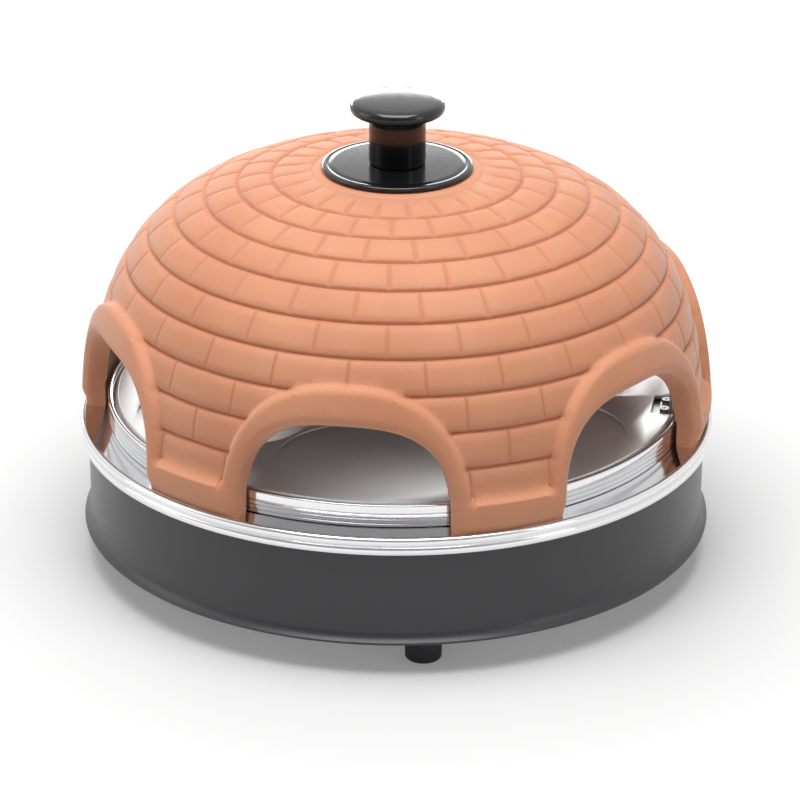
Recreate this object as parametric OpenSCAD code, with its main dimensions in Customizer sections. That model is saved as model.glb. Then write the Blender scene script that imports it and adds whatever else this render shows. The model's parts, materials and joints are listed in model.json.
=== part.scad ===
// Round table-top pizza maker: a terracotta dome with six arched openings stands in the
// channel of a steel rim, over a baking plate, with one heater below and one above.
// Millimetres, +Z up, origin on the floor at the centre. The front arch faces -Y.
// Azimuths are counted from the front (-Y) towards the right (+X).

/* [Base] */
// Height of the feet below the bottom cover
foot_h = 21; // [15:1:30]
// Height from the bottom cover's underside to the rim's datum
base_h = 65; // [58:1:80]
// How far the side wall stands inside the rim's outer edge
wall_inset = 5.5; // [4.5:0.1:6.5]
// Thickness of the side wall's sheet
wall_t = 1.5; // [1:0.1:2]
// How far the flared lip at the wall's foot stands out
flare_w = 4; // [2:0.5:5]
// Height of the flared lip
flare_h = 5; // [4:0.5:8]
// Thickness of the bottom cover
cover_t = 1.2; // [1:0.1:2]
// Radius of a foot
foot_r = 11.5; // [9:0.5:13]
// Distance from the side wall's face in to a foot's centre
foot_inset = 22.5; // [21:0.5:34]
// Number of feet
foot_n = 4; // [3:1:6]
// Azimuth of the first foot
foot_turn = 15; // [10:1:20]
// Number of screws that hold the bottom cover
cover_screw_n = 6; // [4:1:8]

/* [Rim] */
// Outer radius of the steel rim, the object's widest circle
rim_r = 200; // [180:1:220]
// Width of the rim's rolled lip
rim_w = 3.6; // [3:0.1:4.4]
// Height of the rim's rolled lip
rim_h = 11; // [9:0.5:13]
// How far the lip stands above the rim's datum
rim_rise = 5; // [4.7:0.1:6]
// Width of the channel that the dome stands in
channel_w = 14.4; // [13:0.1:16]
// Height of the channel's floor above the datum
channel_up = 4.3; // [3:0.1:4.5]
// Thickness of the steel sheet of rim, ring and reflector
sheet_t = 1.2; // [0.8:0.1:1.4]

/* [Plate ring] */
// Height of the ring above the datum
ring_h = 18.5; // [16:0.5:22]
// Number of ribs rolled into the ring's wall
rib_n = 3; // [2:1:4]
// Depth of a rib
rib_d = 0.9; // [0.5:0.1:1.2]
// Width of the ring's double wall at the top
ring_lip = 2.6; // [2.2:0.1:3.2]
// Width from the ring's wall to the inner edge of the ledge that the plate lies on
ledge_w = 15; // [14:0.5:18]
// Depth of the ledge below the ring's top
ledge_d = 3.3; // [3:0.1:5]

/* [Baking plate] */
// Gap between the plate's edge and the ring
plate_gap = 2.4; // [1.5:0.1:3]
// Thickness of the baking plate
plate_t = 2; // [1.5:0.1:2.5]
// Width of the flat edge outside the baking circles
plate_edge = 9; // [7:0.5:14]
// Gap between neighbouring baking circles
circle_gap = 3; // [2:0.5:8]
// Depth of a baking circle
circle_depth = 1.2; // [0.6:0.1:1.5]

/* [Dome] */
// Play between the dome's foot and the rim's lip
dome_play = 2; // [1:0.1:2.5]
// Play between the dome's foot and the plate ring
foot_play = 2; // [1:0.1:3]
// Height of the dome's crown above the datum
dome_h = 164.5; // [155:0.5:175]
// How far the superellipse's centre lies below the datum
dome_drop = 35; // [28:1:44]
// Exponent of the superellipse
dome_pow = 3.05; // [2.8:0.05:3.4]
// Thickness of the dome's wall at the crown
dome_wall = 10; // [8:0.5:12]
// Number of brick joints round a course
brick_n = 24; // [12:6:24]
// Height of a brick course along the surface
course = 22; // [19:0.1:25]
// Width of a joint between bricks
joint_w = 2; // [1.4:0.1:2.6]
// Depth of a joint between bricks
joint_d = 1.3; // [0.8:0.1:1.8]
// Width of the plain seat outside the knob's flange
seat_margin = 7.2; // [4:0.1:10]

/* [Arches] */
// Half angle of an opening at its foot, seen from the dome's axis
arch_half = 19.5; // [17:0.25:20]
// Height of an opening, measured at its foot's radius
arch_h = 73; // [64:1:80]
// Exponent of the opening's head
arch_pow = 3; // [2.6:0.1:3.4]
// Width of the raised frame beside the opening
frame_w = 15.5; // [10:0.5:17]
// Width of the raised frame over the opening
frame_top = 30; // [22:0.5:34]
// How far the frame stands out from the bricks
frame_raise = 5.5; // [4:0.1:6.5]
// Height of the plain band at the foot of a leg
leg_band = 20; // [14:1:24]

/* [Knob] */
// Radius of the knob's disc
knob_r = 29.4; // [25:0.1:34]
// Height of the knob's disc
knob_t = 12.5; // [9:0.5:15]
// Radius of the knob's stem
stem_r = 17.6; // [14:0.1:20]
// Height of the knob's stem
stem_h = 28.5; // [24:0.5:36]
// Radius of the flange under the knob
flange_r = 46.8; // [42:0.1:50]
// Thickness of the flange
flange_t = 3.6; // [3:0.1:5]

/* [Heaters] */
// Radius of a heating element's tube
tube_r = 3.5; // [3:0.1:4]
// Distance from the heater pan's wall to the lower element's outer loop
low_inset = 23; // [18:1:30]
// Distance between the lower element's two loops
low_step = 60; // [48:1:66]
// How far the straps reach inwards from their feet to the upper reflector's rim
strap_reach = 43.4; // [39:0.1:50]
// Distance from the reflector's rim to the upper element's outer loop
up_inset = 34; // [28:1:38]
// Distance between the upper element's two loops
up_step = 46; // [40:1:50]
// Distance from the dome's crown down to the reflector's rim
hood_drop = 58.5; // [52:0.5:64]
// Rise of the upper reflector's crown above its rim
hood_rise = 20; // [14:1:24]
// Width of a strap that carries the upper reflector
strap_w = 24; // [20:1:26]
// Thickness of a strap
strap_t = 1.5; // [1:0.1:2]
// Height above the datum at which a strap bends inwards
strap_bend = 42; // [34:1:48]

/* [Switch and inlet] */
// Width of the rocker
rocker_w = 12; // [10:0.5:14]
// Radius of the rocker about its pivot
rocker_r = 11; // [9:0.5:12]
// Tilt of the rocker to each side
rocker_tilt = 8; // [5:1:10]
// Radius of the mains cord that the gland takes
cord_r = 3.5; // [3:0.1:4]
// Azimuth of the cord gland
gland_az = 205; // [202:1:210]

/* [Hidden] */
$fn = 96;
eps = 0.01;
// Number of arches, of baking circles and of places at the table
arch_n = 6;
// Clearances: between pieces that move apart, round screws, and of tubes in their saddles
gap = 0.3;
screw_gap = 0.2;
saddle_gap = 0.2;
// Length of a cutter that has to pass right through a sheet, and of one that passes through a body
past = 2;
through = 40;

// Radii that follow from the rim
wall_r = rim_r - wall_inset;
lip_in = rim_r - rim_w;
ring_r = lip_in - channel_w;
ledge_in = ring_r - ledge_w;
plate_r = ring_r - ring_lip - plate_gap;
dome_r = lip_in - dome_play;
foot_ring_r = wall_r - foot_inset;

// Levels
rim_z = foot_h + base_h;
floor_z = rim_z + channel_up;
wall_top = floor_z - sheet_t;
ring_top = rim_z + ring_h;
ledge_z = ring_top - ledge_d;
plate_z = ledge_z;
flange_z = foot_h + cover_t;

// A turn to an azimuth counted from the front
module at(azimuth, radius = 0, z = 0) rotate(azimuth) translate([0, -radius, z]) children();
module ring_of(count, radius, z = 0, turn = 0)
    for (i = [0:count - 1]) at(turn + i * 360 / count, radius, z) children();

// Mitred offset of an open path of points, to its left
function unit(v) = v / norm(v);
function left(v) = [-v[1], v[0]];
function side(path, i) = left(unit(path[i + 1] - path[i]));
function mitre(path, i) =
    i == 0 ? side(path, 0) :
    i == len(path) - 1 ? side(path, i - 1) :
    let (a = side(path, i - 1), b = side(path, i)) (a + b) / (1 + a * b);
function reversed(list) = [for (i = [len(list) - 1:-1:0]) list[i]];
function thick(path, t) = concat(path, reversed([for (i = [0:len(path) - 1]) path[i] + t * mitre(path, i)]));
// Points of an arc from angle a to angle b
function arc(centre, r, a, b, steps) =
    [for (i = [0:steps]) let (t = a + (b - a) * i / steps) centre + r * [cos(t), sin(t)]];
// A turned sheet: the path is its underside or outer side, in radius and height
module spun(path, t) rotate_extrude() polygon(thick(path, t));
module spun_solid(points) rotate_extrude() polygon(points);
module bore(r, h, z = 0) translate([0, 0, z]) cylinder(r = r, h = h);
module tube(r_out, r_in, h) difference() {
    cylinder(r = r_out, h = h);
    bore(r_in, h + 2, -1);
}
module box(size) translate([-size[0] / 2, -size[1] / 2, 0]) cube(size);

// ---- Base -------------------------------------------------------------------------------
// Flanges at the wall's foot and top, and the lip that hides the bottom cover's edge
flange_w = 11;
flange_lap = 2;
lip_drop = 1;
screw_ring_r = wall_r - wall_t - flange_w / 2;
ring_foot_w = 9;
top_flange_in = ring_r - ring_foot_w - flange_lap;
cover_screw_r = 1.8;
foot_screw_r = 2;
// Head of a round-headed screw, from the radius of its shaft
function head_r(r) = 1.9 * r;
function head_h(r) = 1.1 * r;
// Height of the switch, the indicator and the gland, and the place of the indicator
switch_z = rim_z - 38;
lens_r = 4;
lens_x = 26;
gland_r = cord_r + 3.5;

module base_housing() color([0.16, 0.16, 0.17]) difference() {
    spun_solid([
        [wall_r, flange_z + flare_h], [wall_r + flare_w * 0.8, flange_z + flare_h * 0.35],
        [wall_r + flare_w, flange_z], [wall_r + flare_w, foot_h], [wall_r + flare_w * 0.6, foot_h - lip_drop],
        [wall_r, foot_h - lip_drop], [wall_r - eps, flange_z],
        [wall_r - wall_t - flange_w, flange_z], [wall_r - wall_t - flange_w, flange_z + wall_t],
        [wall_r - wall_t, flange_z + wall_t], [wall_r - wall_t, wall_top - wall_t],
        [top_flange_in, wall_top - wall_t], [top_flange_in, wall_top], [wall_r, wall_top]]);
    ring_of(cover_screw_n, screw_ring_r, flange_z - past / 2) cylinder(r = cover_screw_r, h = wall_t + past);
    ring_of(ring_screw_n, ring_screw_ring_r, wall_top - wall_t - past / 2, ring_screw_turn)
        cylinder(r = ring_screw_r + screw_gap, h = wall_t + past);
    at(180, wall_r, switch_z - switch_h / 2 - gap) box([switch_w + 2 * gap, through, switch_h + 2 * gap]);
    at(180, wall_r, switch_z) translate([lens_x, 0, 0]) rotate([90, 0, 0])
        cylinder(r = lens_r, h = through, center = true);
    at(gland_az, wall_r, switch_z) rotate([90, 0, 0]) cylinder(r = gland_r, h = through, center = true);
}

vent = [3, 24];
vent_n = 20;
vent_ring_r = 110;
module bottom_cover() color([0.22, 0.22, 0.23]) difference() {
    bore(wall_r - gap, cover_t, foot_h);
    ring_of(cover_screw_n, screw_ring_r, foot_h - past / 2)
        cylinder(r = cover_screw_r + screw_gap, h = cover_t + past);
    ring_of(foot_n, foot_ring_r, foot_h - past / 2, foot_turn)
        cylinder(r = foot_screw_r + screw_gap, h = cover_t + past);
    ring_of(vent_n, vent_ring_r, foot_h - past / 2) box([vent[0], vent[1], cover_t + past]);
}

// A screw that points up, with its head below z = 0
module pan_screw(r, length) {
    bore(r, length);
    translate([0, 0, -head_h(r)]) difference() {
        cylinder(r = head_r(r), h = head_h(r));
        for (a = [0, 90]) rotate(a) translate([0, 0, -eps]) box([0.5 * r, 2.2 * r, 0.55 * r]);
    }
}
cover_screw_l = 8;
module cover_screws() color([0.75, 0.75, 0.76])
    ring_of(cover_screw_n, screw_ring_r, foot_h) pan_screw(cover_screw_r, cover_screw_l);

foot_recess_h = 9;
foot_recess_r = 5;
foot_round = 1.5;
module feet() color([0.1, 0.1, 0.1]) ring_of(foot_n, foot_ring_r, 0, foot_turn) difference() {
    spun_solid([[0, 0], [foot_r - foot_round, 0], [foot_r - foot_round * 0.3, foot_round * 0.8],
        [foot_r, foot_h - foot_round], [foot_r - foot_round * 0.4, foot_h], [0, foot_h]]);
    bore(foot_screw_r + screw_gap, foot_h + past, -past / 2);
    bore(foot_recess_r, foot_recess_h + past, -past);
}
nut_h = 3.2;
nut_r = 4;
module foot_screws() color([0.75, 0.75, 0.76]) ring_of(foot_n, foot_ring_r, foot_recess_h, foot_turn)
    pan_screw(foot_screw_r, foot_h - foot_recess_h + cover_t + nut_h + 1.5);
module foot_nuts() color([0.7, 0.7, 0.7]) ring_of(foot_n, foot_ring_r, flange_z, foot_turn) difference() {
    cylinder(r = nut_r, h = nut_h, $fn = 6);
    bore(foot_screw_r, nut_h + past, -past / 2);
}

// ---- Rim and ring -----------------------------------------------------------------------
rim_top = rim_z + rim_rise;
lip_round = 1.5;
lip_crease = 0.5;
ring_screw_n = 6;
ring_screw_turn = 15;
ring_screw_r = 1.6;
ring_screw_ring_r = ring_r - ring_lip - head_r(ring_screw_r) - screw_gap;

// The rim: a rolled lip outside, a flat channel for the dome's legs, a flange under the ring
module rim_channel() color([0.83, 0.83, 0.84]) difference() {
    spun_solid(concat(
        [[ring_r - ring_foot_w, wall_top], [lip_in + sheet_t, wall_top], [lip_in + sheet_t, rim_top - rim_h],
         [rim_r - lip_crease, rim_top - rim_h], [rim_r, rim_top - rim_h + lip_crease],
         [rim_r, rim_top - rim_h * 0.55], [rim_r - lip_crease, rim_top - rim_h * 0.5],
         [rim_r, rim_top - rim_h * 0.45]],
        arc([rim_r - lip_round, rim_top - lip_round], lip_round, 0, 90, 5),
        arc([lip_in + lip_round, rim_top - lip_round], lip_round, 90, 180, 5),
        [[lip_in, floor_z], [ring_r - ring_foot_w, floor_z]]));
    ring_of(ring_screw_n, ring_screw_ring_r, wall_top - past / 2, ring_screw_turn)
        cylinder(r = ring_screw_r + screw_gap, h = sheet_t + past);
}

// The ring's wall with its rolled ribs, from the channel floor up to the rounded top
rib_low = 2;
rib_zone = ring_h - channel_up - rib_low - ledge_d;
rib_pitch = rib_zone / rib_n;
ring_round = 0.8;
function rib_wave(i) = let (z0 = floor_z + rib_low + i * rib_pitch)
    [[ring_r, z0], [ring_r - rib_d, z0 + rib_pitch * 0.12], [ring_r, z0 + rib_pitch * 0.24],
     [ring_r, z0 + rib_pitch * 0.99]];
// Azimuths of the legs that the three straps stand behind, and the places on the ledge
strap_az = [for (leg = [5, 1, 3]) (leg + 0.5) * 360 / arch_n];
tab_in = ledge_in + 1;
strap_r = ledge_in + 8.4;
ledge_screw_ring_r = ledge_in + 3.6;
ledge_screw_r = 1.5;
pan_screw_n = 3;
pan_screw_turn = 30;
module ledge_screws(z, r, h) {
    for (a = strap_az) at(a, ledge_screw_ring_r, z) for (x = [-1, 1]) translate([x * strap_w * 0.3, 0, 0])
        cylinder(r = r, h = h);
    ring_of(pan_screw_n, ledge_screw_ring_r, z, pan_screw_turn) cylinder(r = r, h = h);
}
module plate_ring() color([0.86, 0.86, 0.87]) difference() {
    spun_solid(concat(
        [[ring_r - ring_foot_w, floor_z], [ring_r, floor_z]], [for (i = [0:rib_n - 1]) each rib_wave(i)],
        [[ring_r, ring_top - ring_round], [ring_r - ring_round, ring_top],
         [ring_r - ring_lip + ring_round, ring_top], [ring_r - ring_lip, ring_top - ring_round],
         [ring_r - ring_lip, ledge_z], [ledge_in, ledge_z],
         [ledge_in, ledge_z - sheet_t], [ring_r - ring_lip, ledge_z - sheet_t],
         [ring_r - ring_lip, floor_z + sheet_t], [ring_r - ring_foot_w, floor_z + sheet_t]]));
    ring_of(ring_screw_n, ring_screw_ring_r, floor_z - past / 2, ring_screw_turn)
        cylinder(r = ring_screw_r, h = sheet_t + past);
    ledge_screws(ledge_z - sheet_t - past / 2, ledge_screw_r, sheet_t + past);
    conduit_place(0) cylinder(r = conduit_r + screw_gap, h = through + conduit_r, center = true);
}
module ring_screws() color([0.75, 0.75, 0.76])
    ring_of(ring_screw_n, ring_screw_ring_r, wall_top - wall_t, ring_screw_turn)
        pan_screw(ring_screw_r, wall_t + 2 * sheet_t + 1);

// ---- Lower heater -----------------------------------------------------------------------
pan_t = 0.8;
pan_gap = 6;
pan_wall_r = ledge_in - pan_gap;
pan_rim_r = ledge_in + 8;
pan_top = ledge_z - sheet_t;
pan_floor = rim_z - 6;
pan_curve = 8;
low_z = pan_floor + 14;
low_loop_r = pan_wall_r - low_inset;
low_inner_r = low_loop_r - low_step;
terminal_az = 165;
module heater_pan() color([0.7, 0.71, 0.72]) difference() {
    spun([[0, pan_floor], [pan_wall_r - pan_curve, pan_floor], [pan_wall_r, pan_floor + pan_curve],
        [pan_wall_r + pan_t, pan_top - pan_t], [pan_rim_r, pan_top - pan_t]], pan_t);
    ledge_screws(pan_top - pan_t - past / 2, ledge_screw_r + screw_gap, pan_t + past);
    conduit_place(0) cylinder(r = conduit_r + screw_gap, h = through + conduit_r, center = true);
    for (p = low_terminals) translate([p[0], p[1], pan_floor - past / 2])
        cylinder(r = bush_r, h = pan_t + past);
}
module pan_screws() color([0.75, 0.75, 0.76])
    ring_of(pan_screw_n, ledge_screw_ring_r, pan_top - pan_t, pan_screw_turn)
        pan_screw(ledge_screw_r, pan_t + sheet_t);

// A loop pair: an open outer ring, an open inner ring, and a half turn that joins them
module loop_pair(outer, inner, open) {
    half = (outer - inner) / 2;
    mid = (outer + inner) / 2;
    rotate(open / 2) {
        for (r = [outer, inner]) rotate_extrude(angle = 360 - open) translate([r, 0]) circle(r = tube_r);
        translate([mid, 0, 0]) rotate(180) rotate_extrude(angle = 180)
            translate([half, 0]) circle(r = tube_r);
    }
}
low_open = 28;
up_open = 36;
// The free ends of a loop pair, after the opening has been turned to the azimuth
function loop_end(r, open, azimuth) = let (t = azimuth - 90 - open / 2) [r * cos(t), r * sin(t)];
low_terminals = [for (r = [low_loop_r, low_inner_r]) loop_end(r, low_open, terminal_az)];
// The cold ends: a leg through the sheet, and a pin that the wire is crimped to
elbow_r = tube_r + 0.4;
leg_r = tube_r - 0.1;
leg_below = 14;
pin_r = 1.4;
pin_l = 8;
leg_end = pan_floor - leg_below;
module lower_element() color([0.33, 0.33, 0.34]) {
    translate([0, 0, low_z]) rotate(terminal_az - 90) loop_pair(low_loop_r, low_inner_r, low_open);
    for (p = low_terminals) translate([p[0], p[1], 0]) {
        bore(leg_r, low_z - leg_end, leg_end);
        bore(pin_r, pin_l + 1, leg_end - pin_l);
        translate([0, 0, low_z]) sphere(r = elbow_r);
    }
}
// Clips on the pan's floor, each with a saddle under the tube
clip_az = [30, 120, 300];
clip_w = 10;
clip_margin = 3;
module clip(h) difference() {
    box([clip_w, 2 * (tube_r + clip_margin), h]);
    translate([0, 0, h + saddle_gap]) rotate([0, 90, 0])
        cylinder(r = tube_r + saddle_gap, h = clip_w + past, center = true);
    translate([0, 0, 1])
        box([clip_w - clip_margin, 2 * (tube_r + clip_margin) + past, h - tube_r - clip_margin]);
}
module lower_clips() color([0.6, 0.6, 0.6]) for (a = clip_az, r = [low_loop_r, low_inner_r])
    at(a, r, pan_floor + pan_t) clip(low_z - pan_floor - pan_t);

// Ceramic bushes round the cold ends, where they pass through the sheets
bush_r = tube_r + 1.2;
bush_rim_r = tube_r + 3;
bush_t = 1.6;
module bush() difference() {
    union() {
        bore(bush_rim_r, bush_t);
        bore(bush_r - screw_gap, bush_t + 4, -4);
    }
    bore(leg_r, through, -through / 2);
}
module terminal_bushes() color([0.93, 0.92, 0.88]) {
    for (p = low_terminals) translate([p[0], p[1], pan_floor + pan_t]) bush();
    for (p = up_terminals) translate([p[0], p[1], bush_z(p)]) bush();
}

insulation_t = 12;
insulation_r = pan_wall_r - pan_curve - 4;
insulation_hole_r = 26;
pin_ring_r = low_loop_r - 34;
pin_n = 3;
module insulation_disc() color([0.93, 0.91, 0.85]) difference() {
    bore(insulation_r, insulation_t, pan_floor - insulation_t);
    bore(insulation_hole_r, insulation_t + past, pan_floor - insulation_t - past / 2);
    ring_of(pin_n, pin_ring_r, pan_floor - insulation_t - past / 2)
        cylinder(r = pin_r, h = insulation_t + past);
    for (p = low_terminals) translate([p[0], p[1], pan_floor - insulation_t - past / 2])
        cylinder(r = 2 * bush_r, h = insulation_t + past);
}
// Pins under the pan, with a pressed washer each, that hold the insulation up
module insulation_pins() color([0.7, 0.7, 0.7]) ring_of(pin_n, pin_ring_r, pan_floor - insulation_t) {
    bore(pin_r, insulation_t + past, -past);
    bore(7 * pin_r, 0.6, -0.6);
}
module thermostat() color([0.85, 0.8, 0.7]) translate([0, 0, pan_floor]) {
    bore(8, 5, -5);
    bore(6.5, 6, -11);
    for (x = [-1, 1]) translate([x * 4, 0, -18]) box([0.8, 5, 8]);
}
fuse_x = 18;
fuse_r = 3;
module thermal_fuse() color([0.9, 0.9, 0.88]) translate([fuse_x, 0, pan_floor - fuse_r]) rotate([90, 0, 0]) {
    cylinder(r = fuse_r, h = 14, center = true);
    cylinder(r = 0.8, h = 26, center = true);
}

// ---- Wiring in the base -----------------------------------------------------------------
block = [46, 16, 14];
block_y = 128;
port_x = 10;
module terminal_block() color([0.95, 0.94, 0.9]) translate([0, block_y, flange_z]) difference() {
    box(block);
    for (i = [-1.5:1.5]) translate([i * port_x, 0, 0]) {
        bore(2.4, 6, block[2] - 5);
        translate([0, 0, block[2] - 5]) rotate([90, 0, 0])
            cylinder(r = 1.7, h = block[1] + past, center = true);
    }
}
earth_x = 40;
module earth_tab() color([0.8, 0.68, 0.35]) translate([earth_x, block_y + 10, flange_z]) difference() {
    union() {
        box([10, 14, 1]);
        translate([0, 6.5, 0]) box([6.3, 1, 14]);
    }
    bore(2.2, 3, -1);
    translate([0, 8, 11]) rotate([90, 0, 0]) cylinder(r = 0.9, h = 3);
}
// A wire: straight runs with a bead at each bend. Every other run is a little thinner, so that
// no two equal tubes cross
module wire(points, r) {
    for (i = [0:len(points) - 2]) let (d = points[i + 1] - points[i]) translate(points[i])
        rotate([0, acos(d[2] / norm(d)), atan2(d[1], d[0])])
            cylinder(r = r * (1 - 0.04 * (i % 2)), h = norm(d), $fn = 24);
    for (i = [1:len(points) - 2]) translate(points[i]) rotate([25, 40, 0]) sphere(r = r * 1.2, $fn = 24);
}
wire_r = 1.3;
wire_z = flange_z + block[2] - 5;
wire_run = 12;
// A port of the terminal block: its number from the left, on the front or the back
function port(i, side, out = 0) = [(i - 2.5) * port_x, block_y + side * (block[1] / 2 + out), wire_z];
function under(p) = [p[0], p[1], wire_z];
module inner_wiring() color([0.75, 0.2, 0.15]) {
    pins = [for (p = low_terminals) [p[0], p[1], leg_end - pin_l]];
    wire([port(3, -1), port(3, -1, 2 * wire_run), under(pins[1]), pins[1]], wire_r);
    wire([port(4, -1), port(4, -1, wire_run), under(pins[0]), pins[0]], wire_r);
    for (i = [3, 4]) let (x = 3 * (i == 3 ? -1 : 1), z = switch_z - 1.7 * x)
        wire([port(i, 1), port(i, 1, wire_run), [x, switch_back_y - 8, z], [x, switch_back_y, z]], wire_r);
}

// ---- Switch, indicator and cord gland ---------------------------------------------------
switch_depth = 22;
pivot_y = wall_r - 4;
switch_back_y = wall_r + 1 - switch_depth;
well_gap = 0.35;
well_wall = 2.4;
switch_w = rocker_w + 2 * (well_gap + well_wall);
switch_h = 2 * (rocker_r + well_gap + well_wall);
bezel_margin = 2.2;
bezel_t = 1.4;
pivot_r = 1.4;
pivot_fit = 0.05;
pivot_l = 1.6;
module switch_body() color([0.08, 0.08, 0.08]) translate([0, 0, switch_z]) difference() {
    union() {
        translate([0, wall_r + bezel_t / 2, -switch_h / 2 - bezel_margin])
            box([switch_w + 2 * bezel_margin, bezel_t, switch_h + 2 * bezel_margin]);
        translate([0, switch_back_y + switch_depth / 2, -switch_h / 2])
            box([switch_w, switch_depth, switch_h]);
    }
    translate([0, pivot_y, 0]) rotate([0, 90, 0]) {
        cylinder(r = rocker_r + well_gap, h = rocker_w + 2 * well_gap, center = true);
        cylinder(r = pivot_r + pivot_fit, h = rocker_w + 2 * (well_gap + pivot_l), center = true);
    }
    translate([0, pivot_y + through / 2, -rocker_r - well_gap])
        box([rocker_w + 2 * well_gap, through, 2 * (rocker_r + well_gap)]);
}
rocker_face = 6.2;
// Side view of the rocker: a round back, and a face that dips towards its middle
module switch_rocker() color([0.65, 0.1, 0.08]) translate([0, pivot_y, switch_z]) rotate([-rocker_tilt, 0, 0])
    rotate([90, 0, 90]) {
        translate([0, 0, -rocker_w / 2]) linear_extrude(rocker_w) intersection() {
            circle(r = rocker_r);
            polygon([for (s = [-1, 1]) [-rocker_r - 1, s * (rocker_r + 1)],
                for (s = [1, 0, -1]) [rocker_face + abs(s) * rocker_r * tan(rocker_tilt), s * rocker_r]]);
        }
        cylinder(r = pivot_r, h = rocker_w + 2 * (well_gap + pivot_l - gap), center = true);
    }
lens_depth = 12;
lens_rim = 1.4;
lens_proud = 4.8;
lamp_r = 2.2;
lamp_gap = 0.2;
module lens_place() at(180, wall_r, switch_z) translate([lens_x, 0, 0]) rotate([90, 0, 0]) children();
module indicator_lens() color([0.9, 0.3, 0.1, 0.8]) lens_place() difference() {
    spun_solid([[0, -lens_depth], [lens_r - screw_gap / 2, -lens_depth], [lens_r - screw_gap / 2, 0],
        [lens_r + lens_rim, 0], [lens_r + lens_rim, 1], [lens_r, lens_proud * 0.6],
        [lens_r * 0.6, lens_proud * 0.95], [0, lens_proud]]);
    bore(lamp_r + lamp_gap, lens_depth + past, -lens_depth - past);
}
module indicator_lamp() color([0.95, 0.8, 0.7]) lens_place() translate([0, 0, -lens_depth]) {
    bore(lamp_r, lens_depth - lamp_r - lamp_gap);
    translate([0, 0, lens_depth - lamp_r - lamp_gap]) sphere(r = lamp_r);
    bore(lamp_r + 1, 2, -2);
}
gland_l = 18;
gland_rim = [3, 4.6];
module cord_gland() color([0.1, 0.1, 0.1]) at(gland_az, wall_r, switch_z) rotate([90, 0, 0]) difference() {
    spun_solid([[0, -gland_l], [gland_r - screw_gap / 2, -gland_l], [gland_r - screw_gap / 2, 0.2],
        [gland_r + gland_rim[0], 0.2], [gland_r + gland_rim[0], gland_rim[1] / 2],
        [gland_r + gland_rim[0] / 3, gland_rim[1]], [0, gland_rim[1]]]);
    bore(cord_r + screw_gap / 2, through, -through / 2);
}
module gland_nut() color([0.15, 0.15, 0.15]) at(gland_az, wall_r, switch_z) rotate([90, 0, 0])
    translate([0, 0, -2 * gland_nut_t]) difference() {
        cylinder(r = gland_r + gland_rim[0], h = gland_nut_t, $fn = 6);
        bore(gland_r - screw_gap / 2, gland_nut_t + past, -past / 2);
    }
gland_nut_t = 4;

// ---- Upper heater -----------------------------------------------------------------------
hood_r = strap_r - strap_reach;
hood_z = dome_h - hood_drop;
hood_low = rim_z + hood_z;
hood_flat = 14;
up_loop_r = hood_r - up_inset;
up_inner_r = up_loop_r - up_step;
up_z = hood_low - 8;
up_az = 210;
strap_top_r = hood_r - hood_flat / 2;
// Side view of a strap: foot tab on the ledge, upright, slope, and tab under the reflector's rim
module strap() {
    path = [[tab_in, ledge_z], [strap_r, ledge_z], [strap_r, rim_z + strap_bend],
        [strap_r - strap_reach / 3, hood_low - strap_reach * 0.6], [hood_r + past, hood_low],
        [hood_r - hood_flat + past, hood_low]];
    difference() {
        rotate([90, 0, -90]) translate([0, 0, -strap_w / 2]) linear_extrude(strap_w)
            polygon(thick(path, strap_t));
        translate([0, -ledge_screw_ring_r, ledge_z - past / 2]) for (x = [-1, 1])
            translate([x * strap_w * 0.3, 0, 0]) cylinder(r = ledge_screw_r + screw_gap, h = strap_t + past);
        translate([0, -strap_top_r, hood_low - strap_t - past / 2])
            cylinder(r = ledge_screw_r + screw_gap, h = strap_t + past);
    }
}
module placed_strap(i) color([0.78, 0.78, 0.79]) at(strap_az[i]) strap();
module strap_front() placed_strap(0);
module strap_right() placed_strap(1);
module strap_rear() placed_strap(2);
module strap_screws() color([0.75, 0.75, 0.76]) for (a = strap_az) at(a) {
    for (x = [-1, 1]) translate([x * strap_w * 0.3, -ledge_screw_ring_r, ledge_z + strap_t])
        mirror([0, 0, 1]) pan_screw(ledge_screw_r, strap_t + sheet_t + pan_t + 1);
    translate([0, -strap_top_r, hood_low - strap_t]) pan_screw(ledge_screw_r, strap_t + sheet_t + 1);
}
// The reflector: a shallow dish, open side down, on a flat rim
crown_r = (pow(hood_r - hood_flat, 2) + pow(hood_rise, 2)) / (2 * hood_rise);
hood_half = asin((hood_r - hood_flat) / crown_r);
hood_centre = hood_low + hood_rise - crown_r;
// Height at which a bush's rim meets the reflector's upper face
function bush_z(p) = hood_centre + sqrt(pow(crown_r + sheet_t, 2) - pow(norm(p) - bush_rim_r, 2));
hood_path = concat([[hood_r, hood_low]], arc([0, hood_centre], crown_r, 90 - hood_half, 90, 10));
module upper_reflector() color([0.8, 0.81, 0.82]) difference() {
    spun(hood_path, -sheet_t);
    for (a = strap_az) at(a, strap_top_r, hood_low - past / 2)
        cylinder(r = ledge_screw_r, h = sheet_t + past);
    for (p = up_terminals) translate([p[0], p[1], hood_low]) cylinder(r = bush_r, h = through);
}
up_terminals = [for (r = [up_loop_r, up_inner_r]) loop_end(r, up_open, up_az)];
up_leg = 6;
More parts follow.
